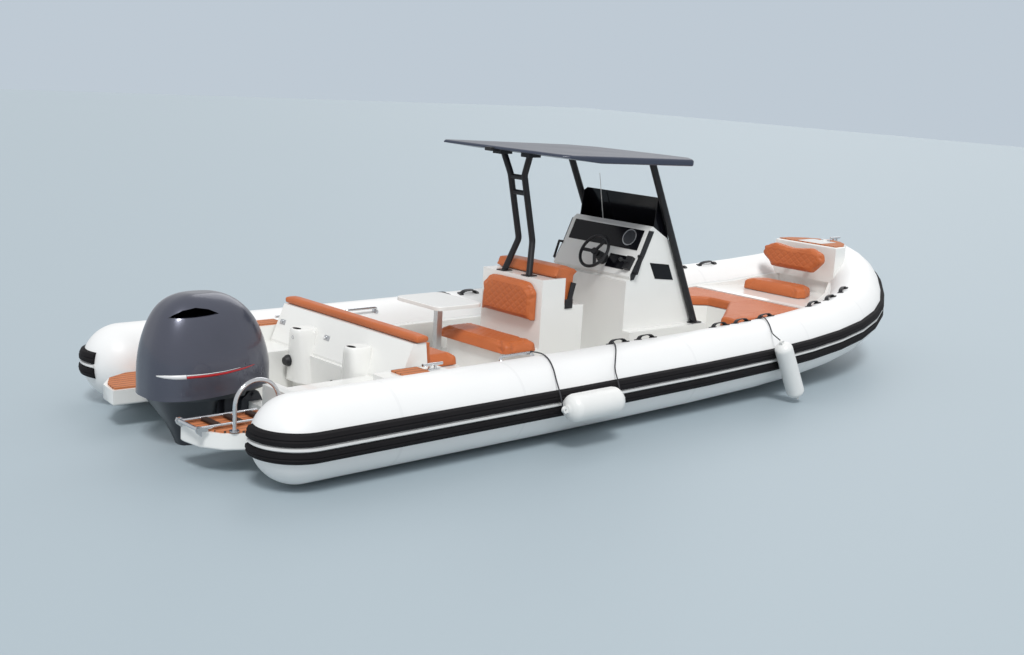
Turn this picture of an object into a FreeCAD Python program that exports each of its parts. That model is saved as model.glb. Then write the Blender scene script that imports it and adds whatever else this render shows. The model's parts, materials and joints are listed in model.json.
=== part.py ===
import FreeCAD, Part
import Sketcher
import math
import os

# Rigid inflatable boat with one outboard, a hardtop, a helm console and caramel seats.
# +X forward, +Y port, +Z up. The origin is on the waterline at the transom's aft face.

doc = FreeCAD.newDocument("RibBoat")
Vec = FreeCAD.Vector
UP = Vec(0, 0, 1)

# alias, value in millimetres or degrees, what it is
SIZES = (
    ("tube_radius", 293, "radius of the inflated tube at the stern"),
    ("bow_tube_radius", 255, "radius of the tube at the nose"),
    ("tube_half_beam", 1220, "tube axis from the centreline at the stern"),
    ("tube_height", 325, "tube axis above the water at the stern"),
    ("tube_aft", 300, "tube's dome centre behind the transom"),
    ("tube_length", 7520, "dome centre to the nose along the boat"),
    ("bow_rise", 500, "rise of the tube axis at the nose"),
    ("strake_proud", 30, "rub strake proud of the tube"),
    ("strake_top", 110, "strake's upper edge above the tube axis"),
    ("strake_bottom", 90, "strake's lower edge below the tube axis"),
    ("stripe_high", 24, "white stripe's upper edge above the tube axis"),
    ("stripe_low", 9, "white stripe's lower edge below the tube axis"),
    ("keel_depth", 390, "keel below the water at the transom"),
    ("hull_length", 7030, "transom to the stem under the nose"),
    ("chine_half", 900, "chine from the centreline"),
    ("chine_depth", 30, "chine below the water at the stern"),
    ("gunwale_rise", 120, "gunwale above the tube axis"),
    ("sole_height", 220, "cockpit sole above the water"),
    ("liner_wall", 28, "thickness of the deck liner"),
    ("side_gap", 40, "liner's outside from the tube's inside"),
    ("transom_thick", 70, "thickness of the transom"),
    ("transom_top", 280, "motor cut-out above the water"),
    ("motor_half", 330, "half width of the motor cut-out"),
    ("well_length", 800, "transom face to the well's front wall"),
    ("well_half", 490, "half width of the splash well"),
    ("well_floor", 120, "splash well floor above the water"),
    ("bench_back", 745, "top of the stern bench above the water"),
    ("bench_half", 850, "half width of the stern bench"),
    ("bench_front", 1450, "front of the stern bench"),
    ("seat_deck", 500, "height of the bench and bow seat decks"),
    ("pad_thick", 80, "thickness of the seat pads"),
    ("bow_seat_aft", 4650, "aft end of the bow seat"),
    ("bow_box_aft", 5850, "aft face of the raised bow box"),
    ("bow_box_top", 585, "top of the raised bow box"),
    ("step_aft", 6750, "aft face of the bow step"),
    ("step_top", 1085, "top of the bow step"),
    ("step_half", 380, "half width of the bow step"),
    ("platform_aft", 715, "swim platform's aft edge behind the transom"),
    ("platform_in", 495, "swim platform's inner edge from the centreline"),
    ("platform_out", 925, "swim platform's outer edge from the centreline"),
    ("platform_top", 300, "swim platform above the water"),
    ("platform_thick", 115, "depth of the swim platform"),
    ("deck_pad", 14, "thickness of the caramel deck pads"),
    ("arch_radius", 165, "radius of the grab arch"),
    ("arch_tube", 14, "radius of the grab arch's tube"),
    ("arch_aft", 530, "grab arch's aft foot behind the transom"),
    ("arch_leg", 160, "straight leg of the grab arch"),
    ("ladder_tube", 13, "radius of the ladder's tube"),
    ("ladder_length", 560, "length of the ladder"),
    ("ladder_in", 530, "ladder's inner tube from the centreline"),
    ("ladder_out", 750, "ladder's outer tube from the centreline"),
    ("table_x", 2090, "table's centre from the transom"),
    ("table_y", 325, "table's centre to port"),
    ("table_long", 490, "table along the boat"),
    ("table_wide", 590, "table across the boat"),
    ("table_top", 780, "table top above the water"),
    ("table_thick", 32, "thickness of the table top"),
    ("pedestal_side", 52, "side of the square pedestal"),
    ("module_aft", 2610, "seat module's aft face"),
    ("module_half", 375, "half width of the seat module"),
    ("module_top", 1020, "seat module's top above the water"),
    ("module_step_x", 2872, "front of the module's upper part"),
    ("module_front", 3100, "front of the seat module"),
    ("module_step_z", 780, "top of the module's lower front part"),
    ("aft_seat_depth", 430, "depth of the aft seat pad"),
    ("aft_seat_half", 440, "half width of the aft seat pad"),
    ("aft_seat_deck", 440, "aft seat base above the water"),
    ("bolster_top", 1110, "top of the helm bolster above the water"),
    ("mast_tube", 27, "radius of the rear mast's tubes"),
    ("mast_foot_x", 2655, "rear mast's foot from the transom"),
    ("mast_foot_y", 155, "rear mast's foot from the centreline"),
    ("mast_bend_x", 2735, "rear mast's bend from the transom"),
    ("mast_bend_y", 85, "rear mast's tubes from the centreline"),
    ("mast_bend_z", 1300, "rear mast's bend above the water"),
    ("mast_head_x", 2600, "rear mast's upper bend from the transom"),
    ("mast_head_y", 174, "rear mast's head from the centreline"),
    ("leg_tube", 31, "radius of the front legs"),
    ("leg_half", 503, "front legs from the centreline"),
    ("leg_foot_x", 4440, "front legs' foot from the transom"),
    ("leg_head_x", 3660, "front legs' head from the transom"),
    ("top_aft", 2380, "hardtop's aft edge"),
    ("top_length", 1750, "hardtop's length"),
    ("top_half", 780, "hardtop's half width"),
    ("top_height", 2080, "hardtop's top at its aft edge"),
    ("top_thick", 60, "hardtop's depth"),
    ("top_slope", 1.5, "hardtop's slope down forward in degrees"),
    ("console_aft", 3510, "console's aft face"),
    ("console_half", 470, "console's half width"),
    ("console_front", 4420, "console's front at its foot"),
    ("dash_lip", 965, "underside of the dash above the water"),
    ("dash_knee_x", 3660, "foot of the instrument face"),
    ("dash_knee_z", 1200, "height of the foot of the instrument face"),
    ("dash_top_x", 3755, "top of the instrument face"),
    ("dash_top_z", 1400, "height of the top of the instrument face"),
    ("brow_x", 4030, "front of the console's top"),
    ("brow_z", 1300, "height of the front of the console's top"),
    ("plinth_top", 530, "console plinth above the water"),
    ("plinth_half", 560, "console plinth's half width"),
    ("plinth_front", 4580, "console plinth's front"),
    ("screen_top_z", 1675, "windscreen's top above the water"),
    ("screen_top_x", 3905, "windscreen's top from the transom"),
    ("screen_thick", 8, "thickness of the windscreen"),
    ("wheel_radius", 150, "steering wheel's radius"),
    ("wheel_rim", 14, "radius of the steering wheel's rim"),
    ("wheel_y", 100, "steering wheel's centre to starboard"),
    ("wheel_reach", 150, "steering wheel's centre from the dash"),
    ("fender_radius", 105, "radius of the fenders"),
    ("fender_length", 560, "length of the fenders"),
    ("rope_radius", 5, "radius of the fender lines"),
    ("tilt_x", 35, "tilt axis ahead of the transom's face"),
    ("tilt_z", 325, "tilt axis above the water"),
    ("steer_x", 165, "steering axis behind the transom's face"),
    ("pin_radius", 16, "radius of the tilt pin"),
    ("swivel_radius", 36, "radius of the swivel housing"),
    ("clamp_in", 95, "inner face of the clamp brackets"),
    ("clamp_out", 150, "outer face of the clamp brackets"),
    ("running_gap", 0.5, "running gap at pins and shafts"),
    ("cowl_base", 400, "seam between the cowls above the water, at the cowl's centre"),
    ("seam_drop", 27, "drop of the seam from the cowl's centre to its aft end"),
    ("cowl_height", 672, "height of the top cowl"),
    ("cowl_half_length", 470, "half length of the cowl"),
    ("cowl_half_width", 316, "half width of the cowl"),
    ("cowl_centre", 270, "cowl's centre behind the transom's face"),
    ("cowl_wall", 12, "thickness of the cowl's wall"),
    ("plate_depth", 335, "cavitation plate below the water"),
    ("prop_depth", 575, "propeller axis below the water"),
    ("skeg_depth", 815, "skeg's tip below the water"),
    ("prop_x", 660, "propeller's front behind the transom's face"),
    ("prop_radius", 200, "propeller's radius"),
    ("hub_radius", 55, "propeller hub's radius"),
    ("hub_length", 130, "propeller hub's length"),
    ("lid_length", 280, "anchor locker lid along the boat"),
    ("lid_width", 300, "anchor locker lid across the boat"),
    ("lid_gap", 6, "gap round the anchor locker lid"),
    ("seat_gap", 0.3, "gap under a soft pad"),
)


class Size:
    # A number with the words of the sheet that give it, so that both stay together.
    def __init__(self, value, words):
        self.value = float(value)
        self.words = words

    def join(self, other, sign, value):
        right = other.words if isinstance(other, Size) else repr(float(other))
        return Size(value, "(" + self.words + " " + sign + " " + right + ")")

    def __add__(self, other):
        return self.join(other, "+", self.value + float(other))

    def __sub__(self, other):
        return self.join(other, "-", self.value - float(other))

    def __mul__(self, other):
        return self.join(other, "*", self.value * float(other))

    def __truediv__(self, other):
        return self.join(other, "/", self.value / float(other))

    def __neg__(self):
        return Size(-self.value, "(0 - " + self.words + ")")

    def __float__(self):
        return self.value


def make_sheet():
    sheet = doc.addObject("Spreadsheet::Sheet", "Sizes")
    for row, (alias, value, note) in enumerate(SIZES, start=1):
        sheet.set("A" + str(row), note)
        sheet.set("B" + str(row), str(value))
        sheet.setAlias("B" + str(row), alias)
    doc.recompute()
    return sheet


class SizeBook:
    # size.name is the cell of that name
    def __init__(self, sheet):
        for alias, value, note in SIZES:
            setattr(self, alias, Size(getattr(sheet, alias), "Sizes." + alias))


size = SizeBook(make_sheet())
mm = {alias: float(getattr(size, alias)) for alias, value, note in SIZES}
parts = {}


def fixed(value):
    return Size(value, repr(float(value)))


def as_size(value):
    return value if isinstance(value, Size) else fixed(value)


def bind(piece, **cells):
    for field, value in cells.items():
        piece.setExpression(field.replace("__", "."), as_size(value).words)


def keep(name, piece):
    piece.Label = name
    parts[name] = piece
    return piece


def solid(name, shape):
    piece = doc.addObject("Part::Feature", name)
    piece.Shape = shape
    return piece


def place(piece, x=0, y=0, z=0):
    bind(piece, Placement__Base__x=x, Placement__Base__y=y, Placement__Base__z=z)
    return piece


def box(name, length, width, height, x, y, z):
    piece = doc.addObject("Part::Box", name)
    bind(piece, Length=length, Width=width, Height=height)
    return place(piece, x, y, z)


def rod(name, radius, height, x, y, z, axis=UP):
    piece = doc.addObject("Part::Cylinder", name)
    piece.Placement.Rotation = FreeCAD.Rotation(UP, Vec(axis))
    bind(piece, Radius=radius, Height=height)
    return place(piece, x, y, z)


def join(name, pieces):
    piece = doc.addObject("Part::MultiFuse", name)
    piece.Shapes = pieces
    return piece


def gather(name, pieces):
    # separate solids kept as one sub-part
    piece = doc.addObject("Part::Compound", name)
    piece.Links = pieces
    return piece


def cut(name, base, tool):
    piece = doc.addObject("Part::Cut", name)
    piece.Base = base
    piece.Tool = tool
    return piece


def draw_outline(sketch, points):
    count = len(points)
    for index in range(count):
        here = points[index]
        there = points[(index + 1) % count]
        start = Vec(float(here[0]), float(here[1]), 0)
        end = Vec(float(there[0]), float(there[1]), 0)
        sketch.addGeometry(Part.LineSegment(start, end), False)
    for index in range(count):
        joint = Sketcher.Constraint("Coincident", index, 2, (index + 1) % count, 1)
        sketch.addConstraint(joint)
    for index, point in enumerate(points):
        for kind, value in zip(("DistanceX", "DistanceY"), point):
            rule = Sketcher.Constraint(kind, -1, 1, index, 1, float(value))
            number = sketch.addConstraint(rule)
            sketch.setExpression("Constraints[" + str(number) + "]", as_size(value).words)


def pad_body(name, plane, points, offset, length):
    # A body padded from one outline: plane XY grows up, XZ grows to starboard, YZ grows forward.
    body = doc.addObject("PartDesign::Body", name + "_body")
    sketch = body.newObject("Sketcher::SketchObject", name + "_outline")
    origin = [item for item in body.Origin.OriginFeatures if item.Role == plane + "_Plane"][0]
    sketch.AttachmentSupport = [(origin, "")]
    sketch.MapMode = "FlatFace"
    draw_outline(sketch, points)
    bind(sketch, AttachmentOffset__Base__z=offset)
    pad = body.newObject("PartDesign::Pad", name + "_pad")
    pad.Profile = sketch
    bind(pad, Length=length)
    body.Tip = pad
    return body


def round_edges(body, name, radius, wanted):
    # Rounds the edges of the body's tip for which wanted(edge) is true.
    doc.recompute()
    base = body.Tip
    names = []
    for number, edge in enumerate(base.Shape.Edges, start=1):
        if wanted(edge):
            names.append("Edge" + str(number))
    fillet = body.newObject("PartDesign::Fillet", name)
    fillet.Base = (base, names)
    bind(fillet, Radius=radius)
    body.Tip = fillet
    return body


def along(edge, axis):
    if not isinstance(edge.Curve, Part.Line):
        return False
    return abs(abs(edge.Curve.Direction.dot(axis)) - 1) < 1e-6


def upright(edge):
    return along(edge, UP)


def at_height(height):
    def test(edge):
        low = edge.BoundBox.ZMin
        high = edge.BoundBox.ZMax
        return abs(low - height) < 0.01 and abs(high - height) < 0.01
    return test


def mirrored(shape):
    return shape.mirror(Vec(0, 0, 0), Vec(0, 1, 0))


def polygon(points):
    return Part.makePolygon(points + [points[0]])


def loft(wires):
    return Part.makeLoft(wires, True, True)


def prism(points, direction):
    return Part.Face(polygon(points)).extrude(direction)


# The tube's axis, dome centre to nose.
# columns: share of the length, share of the half beam, share of the bow rise, share of the taper
TUBE_STATIONS = (
    (0.0, 1.0, 0.0, 0.0),
    (0.306, 0.984, 0.019, 0.0),
    (0.500, 0.970, 0.050, 0.06),
    (0.620, 0.953, 0.086, 0.14),
    (0.700, 0.930, 0.132, 0.22),
    (0.765, 0.896, 0.190, 0.33),
    (0.823, 0.838, 0.262, 0.46),
    (0.873, 0.748, 0.346, 0.59),
    (0.913, 0.640, 0.446, 0.71),
    (0.945, 0.515, 0.568, 0.81),
    (0.9727, 0.3776, 0.725, 0.90),
    (0.9843, 0.2987, 0.815, 0.94),
    (0.9929, 0.2067, 0.900, 0.97),
    (0.9982, 0.1057, 0.968, 0.99),
    (1.0, 0.0, 1.0, 1.0),
)


def tube_stations():
    rows = []
    for along_share, beam_share, rise_share, taper_share in TUBE_STATIONS:
        centre = Vec(
            along_share * mm["tube_length"] - mm["tube_aft"],
            beam_share * mm["tube_half_beam"],
            mm["tube_height"] + rise_share * mm["bow_rise"],
        )
        radius = mm["tube_radius"] - taper_share * (mm["tube_radius"] - mm["bow_tube_radius"])
        rows.append((centre, radius))
    return rows


def tube_at(x):
    # the tube's axis and radius at one x, by straight runs between the stations
    rows = tube_stations()
    for (here, radius), (there, next_radius) in zip(rows, rows[1:]):
        if here.x <= x <= there.x:
            share = (x - here.x) / (there.x - here.x)
            centre = here + (there - here) * share
            return centre, radius + share * (next_radius - radius)
    return rows[-1]


def tube_inside(x):
    # the tube's inner side, from the centreline, where the path turns less than its radius
    centre, radius = tube_at(x)
    return centre.y - radius


def mitre_frames():
    # for each station: centre, radius, outward direction, stretch of the mitre
    rows = tube_stations()
    frames = []
    last = len(rows) - 1
    for index, (centre, radius) in enumerate(rows):
        before = rows[index][0] - rows[index - 1][0] if index else rows[1][0] - rows[0][0]
        if index == last:
            after = Vec(-before.x, before.y, 0)
        else:
            after = rows[index + 1][0] - centre
        run_in = Vec(before.x, before.y, 0).normalize()
        run_out = Vec(after.x, after.y, 0).normalize()
        mean = (run_in + run_out).normalize()
        outward = Vec(-mean.y, mean.x, 0)
        stretch = 1 / run_in.dot(mean)
        frames.append((centre, radius, outward, stretch))
    return frames


def tube_ring(centre, radius, outward, stretch):
    # a circle where the tube runs straight, and the mitre's ellipse where it turns
    side = centre + outward * (radius * stretch)
    top = centre + UP * radius
    if stretch < 1.000001:
        ring = Part.Circle(side, top, centre - outward * radius)
    else:
        ring = Part.Ellipse(side, top, centre)
    return Part.Wire([ring.toShape()])


def tube_end(frames):
    # centre, radius and aft direction of the port dome
    centre, radius, outward, stretch = frames[0]
    aft = Vec(-outward.y, outward.x, 0)
    return centre, radius, aft


def make_tube():
    frames = mitre_frames()
    half = loft([tube_ring(*frame) for frame in frames])
    centre, radius, aft = tube_end(frames)
    dome = Part.makeSphere(radius, centre, aft, 0, 90, 360)
    port = half.fuse(dome)
    return port.fuse(mirrored(port))


# Rub strake sections from the top down.
# columns: share of the way from the band's top to its bottom, share of the proud height
BAND_PROFILE = ((0.0, 0.15), (0.12, 0.85), (0.40, 1.0), (0.50, 0.8), (0.60, 1.0), (0.88, 0.85), (1.0, 0.15))
STRIPE_PROFILE = ((0.0, 0.1), (0.3, 0.55), (0.7, 0.55), (1.0, 0.1))
STRAKE_BURY = 20
STRAKE_WRAP = 112


def strake_section(centre, radius, outward, stretch, top, bottom, profile):
    shrink = radius / mm["tube_radius"]
    points = []
    for share, proud in profile:
        height = (top + share * (bottom - top)) * shrink
        reach = math.sqrt(radius ** 2 - height ** 2) + proud * mm["strake_proud"]
        points.append(centre + outward * (reach * stretch) + UP * height)
    for height in (bottom * shrink, top * shrink):
        reach = math.sqrt(radius ** 2 - height ** 2) - STRAKE_BURY
        points.append(centre + outward * (reach * stretch) + UP * height)
    return points


def make_strake(tube, top, bottom, profile):
    frames = mitre_frames()
    sections = [strake_section(*frame, top, bottom, profile) for frame in frames]
    run = loft([polygon(section) for section in sections])
    centre, radius, aft = tube_end(frames)
    wrap = Part.Face(polygon(sections[0])).revolve(centre, UP, STRAKE_WRAP)
    port = run.fuse(wrap).cut(tube)
    return port.fuse(mirrored(port))


# Hull sections, transom to stem.
# columns: share of the hull length, keel rise, share of the chine's half width, chine rise,
# share of the way from the centreline to the tube's axis at the gunwale
HULL_STATIONS = (
    (0.0, 0, 1.0, 0, 0.95),
    (0.427, 0, 1.0, 15, 0.95),
    (0.66, 40, 0.94, 55, 0.95),
    (0.80, 150, 0.78, 130, 0.93),
    (0.90, 330, 0.54, 230, 0.90),
    (0.965, 570, 0.30, 360, 0.80),
    (1.0, 760, 0.12, 470, 0.55),
)
RAIL_SHARE = 0.48
RAIL_WIDTH = 45
CHINE_FLAT = 28


def hull_section(row):
    along_share, keel_rise, chine_share, chine_rise, gunwale_share = row
    x = along_share * mm["hull_length"]
    centre, radius = tube_at(x)
    keel = -mm["keel_depth"] + keel_rise
    chine_y = chine_share * mm["chine_half"]
    chine_z = max(-mm["chine_depth"] + chine_rise, keel + 5)
    slope = (chine_z - keel) / chine_y
    rail_y = RAIL_SHARE * chine_y
    rail_out = rail_y + RAIL_WIDTH * chine_share
    gunwale_y = gunwale_share * centre.y
    gunwale_z = centre.z + mm["gunwale_rise"]
    half = [
        (rail_y, keel + slope * rail_y),
        (rail_out, keel + slope * rail_y),
        (rail_out, keel + slope * rail_out),
        (chine_y, chine_z),
        (chine_y + CHINE_FLAT * chine_share, chine_z),
        (gunwale_y, gunwale_z),
    ]
    points = [Vec(x, 0, keel)]
    points += [Vec(x, y, z) for y, z in half]
    points += [Vec(x, -y, z) for y, z in reversed(half)]
    return polygon(points)


CAVITY_STEPS = (0.30, 0.56, 0.74, 0.85, 0.92)
SKY = 1500
FORE_WALL = 60
FOOTWELL_AFT = 620
FOOTWELL_FORE = 120
FOOTWELL_SHARE = 0.6
FOOTWELL_WALL = 150
# The liner's depth under the bow seat and the bow box, ahead of the footwell
BOW_SLAB = 100


def cavity_outline(inset, start, end):
    # half outline of the liner between two stations, inset from the tube's inner side
    middle = [share * mm["hull_length"] for share in CAVITY_STEPS]
    xs = [start] + [x for x in middle if start < x < end] + [end]
    return [(x, tube_inside(x) - inset) for x in xs]


def tall_prism(half, low, high):
    points = [Vec(x, y, low) for x, y in half]
    points += [Vec(x, -y, low) for x, y in reversed(half)]
    return prism(points, Vec(0, 0, high - low))


def block(low, high):
    return Part.makeBox(high[0] - low[0], high[1] - low[1], high[2] - low[2], Vec(*low))


def splash_well(wall):
    # the well's room, smaller by the wall on its sides, ends and floor
    half = mm["well_half"] + mm["liner_wall"] - wall
    low = mm["well_floor"] - mm["liner_wall"] + wall
    start = mm["transom_thick"] + wall
    return block((start, -half, low), (mm["well_length"] - wall, half, SKY))


def footwell_outline():
    start = mm["bow_seat_aft"]
    end = start + (mm["bow_box_aft"] - start) * FOOTWELL_SHARE
    return [(start, FOOTWELL_AFT), (end, FOOTWELL_FORE)]


def motor_cut_out(start, end):
    half = mm["motor_half"]
    return block((start, -half, mm["transom_top"]), (end, half, SKY))


def make_hull_form():
    return loft([hull_section(row) for row in HULL_STATIONS])


def make_cavity():
    under_sole = mm["sole_height"] - mm["liner_wall"]
    start = mm["transom_thick"]
    end = mm["step_aft"] + FORE_WALL
    gap = mm["side_gap"]
    low_end = footwell_outline()[-1][0] + FOOTWELL_WALL
    box_aft = mm["bow_box_aft"]
    cavity = tall_prism(cavity_outline(gap, start, low_end), under_sole, SKY)
    seat = tall_prism(cavity_outline(gap, low_end - 1, box_aft), mm["seat_deck"] - BOW_SLAB, SKY)
    box = tall_prism(cavity_outline(gap, box_aft - 1, end), mm["bow_box_top"] - BOW_SLAB, SKY)
    return cavity.multiFuse([seat, box, splash_well(0)])


def make_hull(form, cavity, tube):
    return form.cut(Part.makeCompound([tube, cavity, motor_cut_out(-1, mm["transom_thick"])]))


def make_liner(form, cavity, tube):
    inset = mm["side_gap"] + mm["liner_wall"]
    seat_aft = mm["bow_seat_aft"]
    box_aft = mm["bow_box_aft"]
    fore = mm["step_aft"] + FORE_WALL - mm["liner_wall"]
    mouth_end = mm["transom_thick"] + mm["liner_wall"] + 1
    cockpit = cavity_outline(inset, mm["well_length"], seat_aft)
    seat = cavity_outline(inset, seat_aft - 1, box_aft)
    bow_box = cavity_outline(inset, box_aft - 1, fore)
    rooms = tall_prism(cockpit, mm["sole_height"], SKY)
    rooms = rooms.fuse(tall_prism(seat, mm["seat_deck"], SKY))
    rooms = rooms.fuse(tall_prism(bow_box, mm["bow_box_top"], SKY))
    rooms = rooms.fuse(tall_prism(footwell_outline(), mm["sole_height"], SKY))
    liner = form.common(cavity).cut(tube)
    liner = liner.cut(splash_well(mm["liner_wall"]))
    liner = liner.cut(motor_cut_out(mm["transom_thick"] - 1, mouth_end))
    return liner.cut(rooms)


# ---- shapes used by several pieces


def round_bar(start, end, radius):
    way = end - start
    return Part.makeCylinder(radius, way.Length, start, way)


def bent_rod(points, radius, bend):
    # a round bar along straight runs joined by tangent arcs; bend is one radius or one for each turn
    turns = len(points) - 2
    bends = bend if isinstance(bend, list) else [bend] * turns
    pieces = []
    start = points[0]
    for index in range(1, len(points) - 1):
        here = points[index]
        way = (here - points[index - 1]).normalize()
        next_way = (points[index + 1] - here).normalize()
        turn = way.getAngle(next_way)
        trim = bends[index - 1] * math.tan(turn / 2)
        end = here - way * trim
        pieces.append(round_bar(start, end, radius))
        hinge = way.cross(next_way).normalize()
        centre = end + hinge.cross(way) * bends[index - 1]
        disc = Part.Face(Part.Wire([Part.makeCircle(radius, end, way)]))
        pieces.append(disc.revolve(centre, hinge, math.degrees(turn)))
        start = here + next_way * trim
    pieces.append(round_bar(start, points[-1], radius))
    return pieces[0].multiFuse(pieces[1:]) if len(pieces) > 1 else pieces[0]


def side_profile(points, low_y, high_y):
    # an outline in x and z, as a solid from one y to another
    return prism([Vec(x, low_y, z) for x, z in points], Vec(0, high_y - low_y, 0))


def compound(shapes):
    return Part.makeCompound(shapes)


def both_sides(shape):
    return compound([shape, mirrored(shape)])


def turned(shape, axis, degrees, centre=Vec(0, 0, 0)):
    copy = shape.copy()
    copy.rotate(centre, axis, degrees)
    return copy


# ---- collar, strakes, hull and liner


def build_hull():
    tube = make_tube()
    form = make_hull_form()
    cavity = make_cavity()
    keep("tube_collar", solid("tube_collar", tube))
    upper = make_strake(tube, mm["strake_top"], mm["stripe_high"], BAND_PROFILE)
    lower = make_strake(tube, -mm["stripe_low"], -mm["strake_bottom"], BAND_PROFILE)
    stripe = make_strake(tube, mm["stripe_high"], -mm["stripe_low"], STRIPE_PROFILE)
    keep("rub_strakes", solid("rub_strakes", compound([upper, lower])))
    keep("strake_stripe", solid("strake_stripe", stripe))
    keep("hull", solid("hull", make_hull(form, cavity, tube)))
    keep("deck_liner", solid("deck_liner", make_liner(form, cavity, tube)))
    return tube, form


# ---- swim platforms, grab arch and ladder

# The platform's outline, clockwise from its inner fore corner.
# columns: share of the way aft, share of the way from its inner edge to its outer edge
PLATFORM_OUTLINE = ((0.0, -0.08), (0.0, 1.0), (0.60, 1.0), (0.83, 0.80), (0.97, 0.48), (1.0, 0.10), (1.0, 0.0))
PAD_INSET = 22


def platform_points(inset):
    wide = size.platform_out - size.platform_in
    points = []
    for aft_share, out_share in PLATFORM_OUTLINE:
        x = -(size.platform_aft * aft_share)
        y = size.platform_in + wide * out_share
        if inset:
            x = x + inset if aft_share > 0.9 else x - (inset if aft_share == 0 else 0)
            y = y - inset if out_share > 0.3 else y + inset
        points.append((x, y))
    return points


def build_platforms(collar):
    bases = []
    pads = []
    for side, sign in (("port", 1), ("starboard", -1)):
        base = [(x, y * sign) for x, y in platform_points(0)]
        bottom = size.platform_top - size.platform_thick
        body = pad_body("platform_" + side, "XY", base, bottom, size.platform_thick)
        round_edges(body, "platform_round_" + side, 18, at_height(float(bottom)))
        bases.append(cut("platform_cut_" + side, body, collar))
        top = [(x, y * sign) for x, y in platform_points(PAD_INSET)]
        pad = pad_body("platform_pad_" + side, "XY", top, size.platform_top, size.deck_pad)
        pads.append(cut("platform_pad_cut_" + side, pad, collar))
    keep("swim_platforms", gather("swim_platforms", bases))
    return pads


def build_grab_arch():
    radius = mm["arch_radius"]
    y = -(mm["platform_out"] - 65)
    low = mm["platform_top"] + mm["deck_pad"]
    high = low + mm["arch_leg"] + radius
    aft = -mm["arch_aft"]
    fore = aft + 2 * radius
    points = [Vec(aft, y, low), Vec(aft, y, high), Vec(fore, y, high), Vec(fore, y, low)]
    arch = bent_rod(points, mm["arch_tube"], radius - 1)
    feet = [Part.makeCylinder(2.4 * mm["arch_tube"], 6, Vec(x, y, low)) for x in (aft, fore)]
    keep("grab_arch", solid("grab_arch", arch.multiFuse(feet)))


LADDER_STEPS = 3
LADDER_OVERHANG = 25
LADDER_CLEAR = 5
LUG_THICK = 8


def ladder_axis():
    z = mm["platform_top"] + mm["deck_pad"] + mm["ladder_tube"] + LADDER_CLEAR
    return Vec(-mm["platform_aft"] - LADDER_OVERHANG, 0, z)


def build_ladder():
    axis = ladder_axis()
    radius = mm["ladder_tube"]
    inner = -mm["ladder_in"]
    outer = -mm["ladder_out"]
    end = axis.x + mm["ladder_length"]
    rails = []
    for y in (inner, outer):
        rails.append(round_bar(Vec(axis.x, y, axis.z), Vec(end, y, axis.z), radius - 1))
        rails.append(round_bar(Vec(end - 6, y, axis.z), Vec(end + 14, y, axis.z), radius))
    pivot = round_bar(
        Vec(axis.x, outer - 2.2 * radius, axis.z), Vec(axis.x, inner + 2.2 * radius, axis.z), radius
    )
    pitch = mm["ladder_length"] / (LADDER_STEPS + 0.4)
    for number in range(LADDER_STEPS):
        x = axis.x + pitch * (number + 1)
        rails.append(block((x - 22, outer + 2, axis.z - 8), (x + 22, inner - 2, axis.z + 8)))
    keep("boarding_ladder", solid("boarding_ladder", pivot.multiFuse(rails)))
    lugs = []
    deck = mm["platform_top"]
    for y, grow in ((outer, -1), (inner, 1)):
        centre = y + grow * (radius + LUG_THICK)
        plate = side_profile(
            (
                (axis.x + 70, deck + mm["deck_pad"]),
                (axis.x + 70, deck + mm["deck_pad"] + 10),
                (axis.x + 8, axis.z + 1.7 * radius),
                (axis.x - 14, axis.z + 1.7 * radius),
                (axis.x - 24, axis.z),
                (axis.x - 14, axis.z - 1.7 * radius),
                (axis.x + LADDER_OVERHANG, deck - 20),
                (axis.x + LADDER_OVERHANG, deck + mm["deck_pad"]),
            ),
            centre - LUG_THICK / 2, centre + LUG_THICK / 2,
        )
        hole = round_bar(
            Vec(axis.x, centre - LUG_THICK, axis.z), Vec(axis.x, centre + LUG_THICK, axis.z),
            radius + mm["running_gap"],
        )
        lugs.append(plate.cut(hole))
    keep("ladder_hinge", solid("ladder_hinge", compound(lugs)))


# ---- stern bench and quarters


def build_stern_bench(liner):
    half = size.bench_half
    back = size.bench_back
    aft = size.well_length
    front = size.bench_front
    deck = size.seat_deck
    base = [
        (aft, size.sole_height), (aft, back - 275), (aft + 115, back), (aft + 230, back),
        (aft + 260, deck), (front, deck), (front, size.sole_height + 90),
        (front - 50, size.sole_height),
    ]
    body = pad_body("stern_bench_block", "XZ", base, -half, half * 2)
    keep("stern_bench", cut("stern_bench", body, liner))

    low = back + size.seat_gap
    bolster = pad_body(
        "stern_bolster", "XZ",
        [(aft + 125, low), (aft + 245, low), (aft + 245, low + 55), (aft + 125, low + 55)],
        -half - 20, half * 2 + 40,
    )
    keep("stern_bolster", round_edges(bolster, "bolster_round", 22, lambda edge: along(edge, Vec(0, 1, 0))))

    seat_low = deck + size.seat_gap
    seat = pad_body(
        "bench_cushion", "XY",
        [(aft + 342, -half + 150), (front + 12, -half + 150), (front + 12, half - 150), (aft + 342, half - 150)],
        seat_low, size.pad_thick,
    )
    round_edges(seat, "bench_seat_round", 24, at_height(float(seat_low + size.pad_thick)))
    back_pad = pad_body(
        "bench_back_pad", "XZ",
        [
            (aft + 262, seat_low), (aft + 340, seat_low), (aft + 318, back - 8), (aft + 236, back - 8),
        ],
        -half + 45, half * 2 - 90,
    )
    keep("bench_cushions", gather("bench_cushions", [seat, back_pad]))


VENT_HALF = 362
# The hoods' rings: height, centre ahead of the well's front, half length, half breadth
VENT_RINGS = ((236, -4, 112, 150), (430, -10, 109, 116), (612, -17, 106, 84), (638, -19, 102, 77), (650, -19, 92, 66))
VENT_MOUTH = 78


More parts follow.
